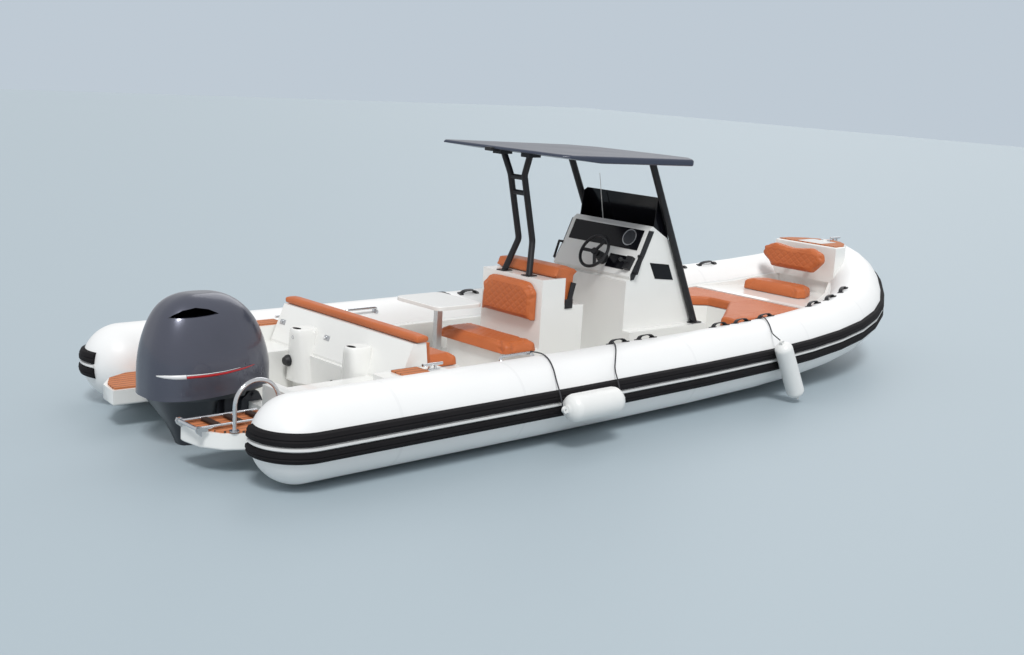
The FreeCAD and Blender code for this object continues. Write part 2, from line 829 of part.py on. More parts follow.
def vent_ring(z, ahead, half_long, half_wide):
    centre = mm["well_length"] + ahead
    points = []
    count = 16
    for number in range(count):
        angle = 2 * math.pi * number / count
        c = math.cos(angle)
        s = math.sin(angle)
        reach_x = abs(c) ** 0.75 * (1 if c >= 0 else -1)
        reach_y = abs(s) ** 0.75 * (1 if s >= 0 else -1)
        points.append(Vec(centre + half_long * reach_x, VENT_HALF + half_wide * reach_y, z))
    curve = Part.BSplineCurve()
    curve.interpolate(points, True)
    return Part.Wire([curve.toShape()])


def build_vents(bench_shape, liner_shape):
    hood = Part.makeLoft([vent_ring(*row) for row in VENT_RINGS], True, True)
    top = VENT_RINGS[-1][0]
    centre = Vec(mm["well_length"] - VENT_MOUTH, VENT_HALF, top - 42)
    mouth = Part.Face(Part.Wire([Part.Ellipse(centre, 46, 28).toShape()]))
    mouth = turned(mouth, UP, 90, centre)
    hood = hood.cut(mouth.extrude(Vec(0, 0, 60)))
    pair = both_sides(hood).cut(bench_shape).cut(liner_shape)
    keep("vent_hoods", solid("vent_hoods", pair))


def build_quarters(collar, form, platform_pads):
    start = mm["transom_thick"] + 480
    length = 570
    deck = mm["tube_height"] + mm["gunwale_rise"]
    high = deck + 128
    pieces = []
    pads = []
    for sign in (1, -1):
        y_in = mm["bench_half"] + 8
        y_out = mm["tube_half_beam"] - 170
        low_y = min(sign * y_in, sign * y_out)
        high_y = max(sign * y_in, sign * y_out)
        stand = block((start, low_y, deck - 120), (start + length, high_y, high))
        stand = stand.makeFillet(30, [edge for edge in stand.Edges if upright(edge)])
        pieces.append(stand.cut(form))
        pad = block((start + 150, low_y + 18, high), (start + 380, high_y - 18, high + 12))
        pads.append(pad.makeFillet(8, [edge for edge in pad.Edges if upright(edge)]))
    tube = collar.Shape
    keep("quarter_blocks", solid("quarter_blocks", compound(pieces).cut(tube)))
    step_pads = solid("step_pads", compound(pads).cut(tube))
    keep("deck_pads", gather("deck_pads", platform_pads + [step_pads]))


# ---- table


def build_table():
    left = size.table_x - size.table_long / 2
    right = size.table_x + size.table_long / 2
    near = size.table_y - size.table_wide / 2
    far = size.table_y + size.table_wide / 2
    low = size.table_top - size.table_thick
    top = pad_body("table_top", "XY", [(left, near), (right, near), (right, far), (left, far)], low, size.table_thick)
    round_edges(top, "table_corners", 70, upright)
    keep("table_top", round_edges(top, "table_lip", 8, at_height(float(size.table_top))))
    side = size.pedestal_side
    post = box(
        "pedestal_post", side, side, low - size.sole_height,
        size.table_x - side / 2, size.table_y - side / 2, size.sole_height,
    )
    foot = rod("pedestal_foot", side * 1.9, 10, size.table_x, size.table_y, size.sole_height)
    flange = rod("pedestal_flange", side * 1.9, 8, size.table_x, size.table_y, low - 8)
    keep("table_pedestal", join("table_pedestal", [post, foot, flange]))


# ---- seat module


def build_seat_module():
    half = size.module_half
    aft = size.module_aft
    points = [
        (aft - 370, size.sole_height), (aft - 370, size.aft_seat_deck), (aft, size.aft_seat_deck),
        (aft, size.module_top), (size.module_step_x, size.module_top),
        (size.module_step_x, size.module_step_z + 12), (size.module_front, size.module_step_z),
        (size.module_front, size.sole_height + 110), (size.module_front - 60, size.sole_height),
    ]
    body = pad_body("seat_module", "XZ", points, -half, half * 2)
    keep("seat_module", body)

    low = size.aft_seat_deck + size.seat_gap
    wide = size.aft_seat_half
    seat = pad_body(
        "aft_seat_cushion", "XY",
        [
            (aft - size.aft_seat_depth, -wide), (aft - 62, -wide), (aft - 62, wide),
            (aft - size.aft_seat_depth, wide),
        ],
        low, size.pad_thick,
    )
    round_edges(seat, "aft_seat_corners", 60, upright)
    keep("aft_seat_cushion", round_edges(seat, "aft_seat_top", 24, at_height(float(low + size.pad_thick))))

    back_half = half - 52
    back_top = size.module_top - 25
    back = pad_body(
        "aft_backrest", "YZ",
        [
            (-back_half, back_top - 330), (back_half, back_top - 330), (back_half, back_top - 90),
            (back_half - 70, back_top - 15), (back_half / 2, back_top), (-back_half / 2, back_top),
            (-back_half + 70, back_top - 15), (-back_half, back_top - 90),
        ],
        aft - 60 - size.seat_gap, 60,
    )
    keep("aft_backrest", back)

    top = size.module_top + size.seat_gap
    front = size.module_step_x + size.seat_gap
    bolster = pad_body(
        "helm_bolster", "XZ",
        [
            (aft + 130, top), (front, top), (front, size.module_step_z + 20), (front + 92, size.module_step_z + 20),
            (front + 112, top + 20), (front + 146, size.bolster_top - 30), (front + 100, size.bolster_top),
            (aft + 160, size.bolster_top),
        ],
        -half, half * 2,
    )
    keep("helm_bolster", bolster)
    plates = []
    for sign in (1, -1):
        inner = sign * (mm["module_half"] + mm["seat_gap"])
        outer = inner + sign * 8
        arm = side_profile(
            (
                (mm["module_step_x"] + 20, mm["module_step_z"] + 30),
                (mm["module_step_x"] + 75, mm["module_step_z"] + 30),
                (mm["module_step_x"] + 118, mm["module_top"] - 50),
                (mm["module_step_x"] + 62, mm["module_top"] - 36),
            ),
            min(inner, outer), max(inner, outer),
        )
        pin_z = mm["module_step_z"] - 20
        base = side_profile(
            (
                (mm["module_step_x"] + 5, pin_z), (mm["module_step_x"] + 90, pin_z),
                (mm["module_step_x"] + 90, pin_z + 80), (mm["module_step_x"] + 5, pin_z + 80),
            ),
            min(sign * mm["module_half"], outer), max(sign * mm["module_half"], outer),
        )
        plates.append(arm.fuse(base))
    keep("bolster_hinges", solid("bolster_hinges", compound(plates)))


# ---- rear mast, front legs and hardtop


def build_hardtop():
    half = size.top_half
    length = size.top_length
    nose = length * 0.12
    points = [
        (0, -half + 60), (60, -half), (length - nose, -half + 10), (length - 20, -half * 0.72),
        (length, -half * 0.3), (length, half * 0.3), (length - 20, half * 0.72),
        (length - nose, half - 10), (60, half), (0, half - 60),
    ]
    body = pad_body("hardtop_panel", "XY", points, -size.top_thick, size.top_thick)
    round_edges(body, "hardtop_corners", 55, upright)
    round_edges(body, "hardtop_brow", size.top_thick * 0.42, at_height(0.0))
    round_edges(body, "hardtop_sill", size.top_thick * 0.25, at_height(-mm["top_thick"]))
    body.Placement = FreeCAD.Placement(Vec(0, 0, 0), FreeCAD.Rotation(Vec(0, 1, 0), mm["top_slope"]))
    body.setExpression("Placement.Rotation.Angle", "Sizes.top_slope * 1 deg")
    place(body, size.top_aft, 0, size.top_height)
    thick = mm["top_thick"]
    wedge = side_profile(((-30, -thick - 1), (420, -thick - 1), (420, -thick), (40, -thick * 0.42), (-30, -20)), -900, 900)
    wedge = turned(wedge, Vec(0, 1, 0), mm["top_slope"])
    wedge.translate(Vec(mm["top_aft"], 0, mm["top_height"]))
    keep("hardtop", cut("hardtop", body, solid("hardtop_wedge", wedge)))
    doc.recompute()
    return parts["hardtop"].Shape


def build_mast(hardtop):
    head_z = mm["top_height"] - mm["top_thick"] * 0.5
    tube = mm["mast_tube"]
    foot = mm["module_top"]
    bend_top = mm["top_height"] - 230
    slope = (mm["mast_head_x"] - mm["mast_bend_x"]) / (bend_top - mm["mast_bend_z"])
    shapes = []
    for sign in (1, -1):
        points = [
            Vec(mm["mast_foot_x"], sign * mm["mast_foot_y"], foot),
            Vec(mm["mast_bend_x"], sign * mm["mast_bend_y"], mm["mast_bend_z"]),
            Vec(mm["mast_head_x"], sign * mm["mast_bend_y"], bend_top),
            Vec(mm["mast_head_x"] - 25, sign * mm["mast_head_y"], head_z),
        ]
        shapes.append(bent_rod(points, tube, 90))
        shapes.append(Part.makeBox(96, 96, 8, Vec(points[0].x - 48, points[0].y - 48, foot)))
        shapes.append(
            Part.makeBox(130, 100, 8 + mm["top_thick"], Vec(points[3].x - 65, points[3].y - 50, bend_top + 158))
        )
    for height in (bend_top - 150, bend_top - 20):
        x = mm["mast_bend_x"] + slope * (height - mm["mast_bend_z"])
        shapes.append(round_bar(Vec(x, -mm["mast_bend_y"], height), Vec(x, mm["mast_bend_y"], height), tube * 0.8))
    frame = shapes[0].multiFuse(shapes[1:])
    module = block((0, -2000, 0), (9000, 2000, mm["module_top"]))
    keep("rear_mast", solid("rear_mast", frame.cut(hardtop).cut(above_hardtop()).cut(module)))

    legs = []
    for sign in (1, -1):
        head = Vec(mm["leg_head_x"], sign * mm["leg_half"], head_z)
        foot_point = Vec(mm["leg_foot_x"], sign * mm["leg_half"], mm["plinth_top"] - 30)
        leg = round_bar(foot_point, head, mm["leg_tube"])
        flange = Part.makeBox(190, 80, mm["top_thick"], Vec(head.x - 95, head.y - 40, head.z - 46))
        sole = Part.makeBox(130, 62, 10, Vec(foot_point.x - 75, foot_point.y - 31, mm["plinth_top"]))
        leg = leg.multiFuse([flange, sole]).cut(hardtop).cut(above_hardtop())
        under = block((0, -2000, 0), (9000, 2000, mm["plinth_top"]))
        legs.append(leg.cut(under))
    keep("front_legs", solid("front_legs", compound(legs)))
    lamp = block(
        (mm["top_aft"] - 34, 60, mm["top_height"] - 42), (mm["top_aft"] + 60, 140, mm["top_height"] - 12)
    )
    keep("stern_lamp", solid("stern_lamp", lamp.cut(hardtop)))


def above_hardtop():
    slab = Part.makeBox(3000, 3000, 400, Vec(-500, -1500, -mm["top_thick"] / 2))
    slab = turned(slab, Vec(0, 1, 0), mm["top_slope"])
    slab.translate(Vec(mm["top_aft"], 0, mm["top_height"]))
    return slab


# ---- console


def build_console():
    half = size.console_half
    plinth = pad_body(
        "console_plinth", "XZ",
        [
            (size.console_aft, size.sole_height), (size.console_aft, size.plinth_top),
            (size.plinth_front - 60, size.plinth_top), (size.plinth_front, size.plinth_top - 60),
            (size.plinth_front, size.sole_height),
        ],
        -size.plinth_half, size.plinth_half * 2,
    )
    points = [
        (size.console_aft, size.plinth_top), (size.console_aft, size.dash_lip),
        (size.console_aft + 45, size.dash_lip + 12), (size.console_aft + 30, size.dash_lip + 40),
        (size.dash_knee_x, size.dash_knee_z), (size.dash_top_x, size.dash_top_z),
        (size.dash_top_x + 45, size.dash_top_z + 30), (size.brow_x, size.brow_z),
        (size.console_front, size.plinth_top),
    ]
    tower = pad_body("console_tower", "XZ", points, -half, half * 2)
    keep("console", join("console", [plinth, tower]))

    glass = mm["screen_thick"]
    lean = math.atan2(mm["brow_x"] - mm["screen_top_x"], mm["screen_top_z"] - mm["brow_z"])
    step = glass / math.cos(lean)
    pane = side_profile(
        (
            (mm["brow_x"] - step, mm["brow_z"] + 4), (mm["brow_x"], mm["brow_z"]),
            (mm["screen_top_x"], mm["screen_top_z"]), (mm["screen_top_x"] - step, mm["screen_top_z"]),
        ),
        -mm["console_half"] + 12, mm["console_half"] - 12,
    )
    wing_y = mm["console_half"] - 12 - glass
    wing = side_profile(
        (
            (mm["dash_top_x"] + 70, mm["dash_top_z"] - 20), (mm["brow_x"], mm["brow_z"] - 20),
            (mm["screen_top_x"], mm["screen_top_z"]), (mm["screen_top_x"] - 50, mm["screen_top_z"] - 25),
        ),
        wing_y, wing_y + glass,
    )
    screen = pane.multiFuse([wing, mirrored(wing)])
    doc.recompute()
    screen = screen.cut(parts["console"].Shape)

    knee = Vec(mm["dash_knee_x"], 0, mm["dash_knee_z"])
    face = Vec(mm["dash_top_x"], 0, mm["dash_top_z"]) - knee
    panel = dash_plate(knee, face, 22, face.Length - 12, -0.90, 0.90, 6)
    lip = Vec(mm["console_aft"] + 30, 0, mm["dash_lip"] + 40)
    lower = knee - lip
    switches = dash_plate(lip, lower, 52, lower.Length - 48, -0.78, -0.32, 5)
    keep("dash_panels", solid("dash_panels", compound([panel, switches])))
    windows = []
    bands = []
    rails = []
    for sign in (1, -1):
        y = sign * mm["console_half"]
        low_y = min(y, y + sign * 4)
        windows.append(side_profile(WINDOW_OUTLINE, low_y, low_y + 4))
        low_y = min(y, y + sign * 9)
        bands.append(side_profile(BAND_OUTLINE, low_y, low_y + 9))
        grip = Vec(mm["dash_knee_x"] - 20, y + sign * 46, mm["dash_knee_z"] - 20)
        end = Vec(mm["console_aft"] + 78, y + sign * 46, mm["dash_lip"] + 70)
        rail = [round_bar(grip, end, 11)]
        for foot in (grip, end):
            rail.append(Part.makeSphere(11, foot))
            rail.append(round_bar(foot, Vec(foot.x, y, foot.z), 11))
        rails.append(rail[0].multiFuse(rail[1:] + [bands[-1]]))
    keep("console_glass", solid("console_glass", compound([screen] + windows)))
    keep("console_rails", solid("console_rails", compound(rails).cut(parts["console"].Shape).cut(screen)))


# The side window and the dark band along the dash's edge, in x and z
WINDOW_OUTLINE = ((3795, 1112), (4046, 1082), (4120, 940), (3877, 966))
BAND_OUTLINE = ((3752, 1396), (3660, 1200), (3556, 1022), (3560, 972), (3596, 976), (3716, 1184), (3812, 1388))


def dash_plate(foot, way, start, end, low_share, high_share, thick):
    # a flat plate on a sloping face of the dash, between two shares of the console's half width
    along_face = Vec(way).normalize()
    out = Vec(along_face).cross(Vec(0, 1, 0)).normalize()
    if out.x > 0:
        out = -out
    low_y = low_share * mm["console_half"]
    high_y = high_share * mm["console_half"]
    corners = [
        foot + along_face * start + Vec(0, low_y, 0), foot + along_face * end + Vec(0, low_y, 0),
        foot + along_face * end + Vec(0, high_y, 0), foot + along_face * start + Vec(0, high_y, 0),
    ]
    return prism(corners, out * thick)


def helm_axis():
    lip = Vec(mm["console_aft"] + 30, 0, mm["dash_lip"] + 40)
    knee = Vec(mm["dash_knee_x"], 0, mm["dash_knee_z"])
    way = (knee - lip).normalize()
    out = Vec(-way.z, 0, way.x)
    middle = lip + (knee - lip) * 0.5 + Vec(0, -mm["wheel_y"], 0)
    return middle, out


def build_helm():
    middle, out = helm_axis()
    reach = mm["wheel_reach"]
    centre = middle + out * reach
    shaft = mm["wheel_rim"] * 0.7
    boss = Part.makeCone(52, 34, reach - 42, middle - out * 2, out)
    axle = round_bar(middle, centre + out * 6, shaft)
    doc.recompute()
    panels = parts["dash_panels"].Shape
    helm_boss = boss.fuse(axle).cut(parts["console"].Shape).cut(panels)
    rim = Part.makeTorus(mm["wheel_radius"], mm["wheel_rim"], Vec(0, 0, 0), UP)
    hub = Part.makeCylinder(30, 34, Vec(0, 0, -24), UP)
    pieces = [hub]
    for angle in (90, 210, 330):
        spoke = Part.makeBox(mm["wheel_radius"] - 8, 30, 9, Vec(8, -15, -8))
        pieces.append(turned(spoke, UP, angle))
    wheel = rim.multiFuse(pieces).cut(Part.makeCylinder(shaft + mm["running_gap"], 31, Vec(0, 0, -25), UP))
    wheel.Placement = FreeCAD.Placement(centre, FreeCAD.Rotation(UP, out))
    keep("steering_wheel", solid("steering_wheel", wheel))

    base = middle + Vec(0, mm["wheel_y"] - 0.885 * mm["console_half"], 0)
    side = Vec(0, 1, 0)
    way = out.cross(side).normalize()
    binnacle = prism(
        [base - side * 32 - way * 60, base + side * 32 - way * 60, base + side * 32 + way * 60, base - side * 32 + way * 60],
        out * 42,
    )
    lever = round_bar(base + out * 40, base + out * 130 + way * 20, 9)
    knob = Part.makeSphere(19, base + out * 132 + way * 20)
    throttle = binnacle.multiFuse([lever, knob]).cut(panels)
    keep("helm_controls", solid("helm_controls", compound([helm_boss, throttle])))

    mast_foot = Vec(mm["brow_x"] - 100, mm["console_half"] * 0.53, mm["brow_z"] + 56)
    base_cone = Part.makeCone(22, 9, 60, mast_foot - UP * 14, Vec(-0.2, 0, 0.98))
    whip = Part.makeCone(5, 2.5, 480, mast_foot, Vec(-0.2, 0, 0.98))
    keep("antenna", solid("antenna", base_cone.fuse(whip).cut(parts["console"].Shape)))


# ---- bow


def build_bow(tube, form, liner):
    inset = mm["side_gap"] + mm["liner_wall"] + 8
    seat_aft = mm["bow_seat_aft"]
    low = mm["seat_deck"] + mm["seat_gap"]
    outer = cavity_outline(inset, seat_aft + 4, mm["bow_box_aft"] - 8)
    pads = tall_prism(outer, low, low + mm["pad_thick"])
    well = footwell_outline()
    hollow = tall_prism([(x + (-9 if x == seat_aft else 12), y + 6) for x, y in well], low - 5, low + 200)
    pads = pads.cut(hollow).cut(tube)
    keep("bow_seat_pads", solid("bow_seat_pads", pads))

    box_top = mm["bow_box_top"] + mm["seat_gap"]
    cushion = pad_body(
        "bow_cushion", "XY",
        [
            (6210, -345), (6300, -380), (6518, -290), (6518, 290), (6300, 380), (6210, 345),
        ],
        fixed(box_top), size.pad_thick * 1.2,
    )
    round_edges(cushion, "bow_cushion_corners", 40, upright)
    keep("bow_cushion", round_edges(cushion, "bow_cushion_top", 24, at_height(box_top + mm["pad_thick"] * 1.2)))

    low = size.bow_box_top + 225
    rest_x = size.step_aft - 225
    rest = pad_body(
        "bow_backrest", "YZ",
        [
            (-250, low), (250, low), (380, low + 130), (365, low + 215), (230, low + 265), (0, low + 235),
            (-230, low + 265), (-365, low + 215), (-380, low + 130),
        ],
        rest_x, 70,
    )
    round_edges(rest, "backrest_corners", 45, lambda edge: along(edge, Vec(1, 0, 0)))
    keep("bow_backrest", rest)
    arms = []
    for y in (-130, 130):
        arms.append(block((float(rest_x) + 70, y - 22, float(low) + 60), (mm["step_aft"], y + 22, float(low) + 100)))
    arms.append(block((float(rest_x) + 70, -190, float(low) + 45), (float(rest_x) + 82, 190, float(low) + 115)))
    arms.append(block((mm["step_aft"] - 10, -190, float(low) + 45), (mm["step_aft"], 190, float(low) + 115)))
    keep("backrest_bracket", solid("backrest_bracket", arms[0].multiFuse(arms[1:])))

    top = mm["step_top"]
    lid_fore = mm["step_aft"] + 340
    lid_aft = lid_fore - mm["lid_length"]
    half = mm["lid_width"] / 2
    gap = mm["lid_gap"]
    step = tall_prism(step_outline(0), mm["bow_box_top"], top)
    step = step.makeFillet(14, [edge for edge in step.Edges if at_height(top)(edge)])
    locker = block((lid_aft - gap, -half - gap, top - 190), (lid_fore + gap, half + gap, top + 50))
    step = step.cut(tube).cut(form).cut(liner).cut(locker)
    keep("bow_step", solid("bow_step", step))
    decking = tall_prism(step_outline(26), top, top + 10).cut(locker).cut(tube)
    decking = decking.cut(block((lid_fore - 1, -60, top - 1), (lid_fore + 52, 60, top + 40)))
    keep("bow_decking", solid("bow_decking", decking))

    pin = Vec(lid_fore + gap + 14, 0, top + 14)
    lid = block((lid_aft, -half, top - 16), (lid_fore, half, top + 10))
    lid = lid.makeFillet(20, [edge for edge in lid.Edges if upright(edge)])
    leaf = block((lid_fore - 40, -24, top + 10), (pin.x, 24, top + 15))
    barrel = round_bar(Vec(pin.x, -24, pin.z), Vec(pin.x, 24, pin.z), 8)
    bore = round_bar(Vec(pin.x, -30, pin.z), Vec(pin.x, 30, pin.z), 4 + mm["running_gap"])
    keep("anchor_locker_lid", solid("anchor_locker_lid", lid.multiFuse([leaf, barrel]).cut(bore)))
    hinge = []
    for sign in (1, -1):
        near = sign * 25
        far = sign * 55
        hinge.append(round_bar(Vec(pin.x, near, pin.z), Vec(pin.x, far, pin.z), 8))
        hinge.append(block((pin.x - 6, min(near, far), top), (pin.x + 30, max(near, far), top + 8)))
    hinge.append(round_bar(Vec(pin.x, -50, pin.z), Vec(pin.x, 50, pin.z), 4))
    keep("locker_hinge", solid("locker_hinge", hinge[0].multiFuse(hinge[1:]).cut(tube)))



def bow_cleat(tube):
    nose_top = mm["tube_height"] + mm["bow_rise"] + mm["bow_tube_radius"]
    nose_x = mm["tube_length"] - mm["tube_aft"] + 60
    cleat = block((nose_x - 70, -22, nose_top - 40), (nose_x + 70, 22, nose_top - 2))
    posts = [Part.makeCylinder(12, 52, Vec(nose_x + x, 0, nose_top - 10)) for x in (-28, 28)]
    bar = round_bar(Vec(nose_x - 85, 0, nose_top + 36), Vec(nose_x + 85, 0, nose_top + 36), 11)
    return cleat.multiFuse(posts + [bar]).cut(tube).cut(parts["bow_step"].Shape).cut(parts["bow_decking"].Shape)


# The bow step's outline, columns: distance ahead of its aft face, half breadth
STEP_OUTLINE = ((0, 1.0), (190, 0.96), (340, 0.72), (450, 0.40), (500, 0.12))


def step_outline(inset):
    rows = []
    for ahead, share in STEP_OUTLINE:
        x = mm["step_aft"] + ahead + (inset if ahead == 0 else 0) - (inset if ahead > 400 else 0)
        rows.append((x, share * mm["step_half"] - inset * (0.3 if ahead > 400 else 1)))
    return rows


# ---- fittings on the tube and deck

HANDLE_PLACES = (2760, 3090, 4050, 4360, 4720, 5550, 5900, 6270)
HANDLE_LEAN = 14
HANDLE_LONG = 190
HANDLE_HIGH = 34
HANDLE_WIDE = 36
HANDLE_THICK = 8
HANDLE_PATCH = 26


def tube_point(x, lean, lift):
    # a point outside the tube: lean is the angle inboard from its top, and the way along the tube
    centre, radius = tube_at(x)
    ahead = tube_at(x + 20)[0] - tube_at(x - 20)[0]
    ahead.normalize()
    outboard = Vec(0, 0, 1).cross(ahead)
    outboard.normalize()
    up = ahead.cross(outboard).normalize()
    angle = math.radians(lean)
    out = up * math.cos(angle) - outboard * math.sin(angle)
    return centre + out * (radius + lift), ahead, out


def handle_arc(point, ahead, out, half, high):
    # points along a flattened arch over the tube, from one foot to the other
    rows = []
    for share in (-1.0, -0.88, -0.66, -0.36, 0.0, 0.36, 0.66, 0.88, 1.0):
        rows.append(point + ahead * (share * half) + out * (high * (1 - share ** 4)))
    return rows


def build_tube_handles(tube):
    handles = []
    for x in HANDLE_PLACES:
        point, ahead, out = tube_point(x, HANDLE_LEAN, 0)
        side = out.cross(ahead).normalize()
        half = HANDLE_LONG / 2
        outer = handle_arc(point, ahead, out, half, HANDLE_HIGH)
        inner = handle_arc(point, ahead, out, half - HANDLE_THICK * 1.6, HANDLE_HIGH - HANDLE_THICK)
        low = out * -12
        outline = [outer[0] + low] + outer + [outer[-1] + low, inner[-1] + low] + list(reversed(inner)) + [inner[0] + low]
        outline = [corner - side * (HANDLE_WIDE / 2) for corner in outline]
        strap = prism(outline, side * HANDLE_WIDE)
        patches = []
        for end in (-1, 1):
            middle = point + ahead * (end * (half - 4))
            corners = []
            for a, b in ((-1, -0.6), (-0.6, -1), (0.6, -1), (1, -0.6), (1, 0.6), (0.6, 1), (-0.6, 1), (-1, 0.6)):
                corners.append(middle + ahead * (a * HANDLE_PATCH) + side * (b * HANDLE_PATCH * 1.15) - out * 14)
            patches.append(prism(corners, out * 20))
        handles.append(strap.multiFuse(patches))
    pair = compound(handles + [mirrored(handle) for handle in handles])
    keep("tube_handles", solid("tube_handles", pair.cut(tube)))


def build_fittings(tube):
    deck = mm["tube_height"] + mm["gunwale_rise"]
    high = deck + 128
    bar_z = high + 42
    cleats = []
    y = mm["bench_half"] + 120
    x = mm["transom_thick"] + 930
    for sign in (1, -1):
        base = block((x - 55, sign * y - 20, high), (x + 55, sign * y + 20, high + 8))
        posts = [Part.makeCylinder(11, 40, Vec(x + shift, sign * y, high)) for shift in (-26, 26)]
        bar = round_bar(Vec(x - 90, sign * y, bar_z), Vec(x + 90, sign * y, bar_z), 11)
        cleats.append(base.multiFuse(posts + [bar]))

    grabs = []
    for sign in (1, -1):
        point, ahead, out = tube_point(GRAB_X, GRAB_LEAN, 0)
        span = ahead * (GRAB_LONG / 2)
        points = [point - span - out * 12, point - span + out * 52, point + span + out * 52, point + span - out * 12]
        rail = bent_rod(points, 12, 36)
        feet = [Part.makeCylinder(30, 22, point + span * end - out * 14, out) for end in (-1, 1)]
        rail = rail.multiFuse(feet)
        grabs.append(rail if sign == 1 else mirrored(rail))
    grabs = compound(grabs).cut(tube)
    keep("deck_fittings", solid("deck_fittings", compound(cleats + [grabs, bow_cleat(tube)])))

    eyes = []
    for y, z in ((620, 110), (-620, 110)):
        eyes.append(eye_plate(Vec(0, y, z), -1))
    eyes.append(eye_plate(Vec(mm["hull_length"], 0, 440), 1))
    keep("towing_eyes", solid("towing_eyes", compound(eyes)))


GRAB_X = 1785
GRAB_LEAN = 38
GRAB_LONG = 330
EYE_BORE = 13
EYE_THICK = 12


def eye_plate(foot, way):
    # a flat lug with an upright bore, on a base plate
    plate = block(
        (min(foot.x, foot.x + way * 6), foot.y - 40, foot.z - 32),
        (max(foot.x, foot.x + way * 6), foot.y + 40, foot.z + 32),
    )
    tip = foot + Vec(way * 40, 0, 0)
    half = EYE_THICK / 2
    lug = round_bar(tip - Vec(0, 0, half), tip + Vec(0, 0, half), 26)
    web = block(
        (min(foot.x, tip.x), foot.y - 26, foot.z - half), (max(foot.x, tip.x), foot.y + 26, foot.z + half)
    )
    bore = round_bar(tip - Vec(0, 0, EYE_THICK), tip + Vec(0, 0, EYE_THICK), EYE_BORE)
    return plate.multiFuse([lug, web]).cut(bore)


# ---- fenders and their lines

AFT_FENDER_X = 2000
FORE_FENDER_MIDDLE = Vec(4472, -1561.5, 305.5)
FORE_FENDER_WAY = Vec(-0.5008, 0, 0.8663)
FORE_FENDER_RADIUS = 78
FORE_FENDER_LONG = 570


def fender_shape(radius, length):
    # a capsule along +Z from its middle, with an eye at each end
    half = length / 2
    waist = half - radius * 0.8
    crown = radius * 0.8
    outline = [Vec(0, 0, -half), Vec(radius * 0.28, 0, -half)]
    points = [(radius * math.cos(a), -waist - crown * math.sin(a)) for a in (1.25, 0.95, 0.62, 0.3, 0.0)]
    outline += [Vec(x, 0, z) for x, z in points]
    outline += [Vec(x, 0, -z) for x, z in reversed(points)]
    outline += [Vec(radius * 0.28, 0, half), Vec(0, 0, half)]
    body = Part.Face(polygon(outline)).revolve(Vec(0, 0, 0), UP, 360)
    neck = radius * 0.24
    for sign in (1, -1):
        tab = Part.makeCylinder(neck, 24, Vec(0, -12, sign * (half + neck * 0.7)), Vec(0, 1, 0))
        hole = Part.makeCylinder(mm["rope_radius"] * 1.6, 40, Vec(0, -20, sign * (half + neck * 0.9)), Vec(0, 1, 0))
        body = body.fuse(tab).cut(hole)
    return body


def cord_bends(name, points):
    radii = []
    for before, here, after in zip(points, points[1:], points[2:]):
        run_in = here - before
        run_out = after - here
        turn = run_in.getAngle(run_out)
        radii.append(0.45 * min(run_in.Length, run_out.Length) / math.tan(turn / 2))
    print(name, "bend radii", [round(radius) for radius in radii])
    return radii


def make_cord(name, points):
    tube = bent_rod(points, mm["rope_radius"], cord_bends(name, points))
    length = sum((there - here).Length for here, there in zip(points, points[1:]))
    expected = math.pi * mm["rope_radius"] ** 2 * length
    print(name, "volume over section times length", round(tube.Volume / expected, 3))
    keep(name, solid(name, tube))


# The fender lines' routes. Over the tube each row is x, degrees inboard of its top, lift off it.
# Off the tube each row is a point in x, y and z.
LINES = (
    (
        "fender_line_aft",
        ((1945, 38, 62), (1915, 21, 24), (1880, 2, 14), (1840, -18, 13), (1800, -37, 14), (1758, -55, 26)),
        ((1728, -1533, 462), (1708, -1583, 402), (1698, -1613, 352)),
    ),
    (
        "fender_line_middle",
        ((2695, 14, 27), (2648, 1, 17), (2586, -13, 14), (2515, -27, 14), (2445, -41, 15), (2382, -54, 26)),
        ((2342, -1531, 464), (2316, -1582, 405), (2303, -1613, 352)),
    ),
    (
        "fender_line_fore",
        ((4655, 14, 27), (4612, 0, 16), (4558, -14, 13), (4500, -28, 14), (4440, -42, 18)),
        ((4392, -1425, 592), (4352, -1495, 583), (4326, -1553, 570)),
    ),
)


def build_fender_lines():
    for name, over, off in LINES:
        points = []
        for x, lean, lift in over:
            point = tube_point(x, lean, lift)[0]
            points.append(Vec(point.x, -point.y, point.z))
        points += [Vec(*row) for row in off]
        make_cord(name, points)


def build_fenders(tube):
    centre, radius = tube_at(AFT_FENDER_X)
    ahead = (tube_at(AFT_FENDER_X + 50)[0] - tube_at(AFT_FENDER_X - 50)[0]).normalize()
    ahead = Vec(ahead.x, -ahead.y, ahead.z)
    out = radius + mm["strake_proud"] + mm["fender_radius"] + 0.6
    fender = fender_shape(mm["fender_radius"], mm["fender_length"])
    middle = Vec(AFT_FENDER_X, -centre.y - out, centre.z + 8)
    fender.Placement = FreeCAD.Placement(middle, FreeCAD.Rotation(UP, ahead))
    keep("fender_aft", solid("fender_aft", fender))

    hanging = fender_shape(FORE_FENDER_RADIUS, FORE_FENDER_LONG)
    hanging.Placement = FreeCAD.Placement(FORE_FENDER_MIDDLE, FreeCAD.Rotation(UP, FORE_FENDER_WAY))
    keep("fender_fore", solid("fender_fore", hanging))


# ---- outboard motor


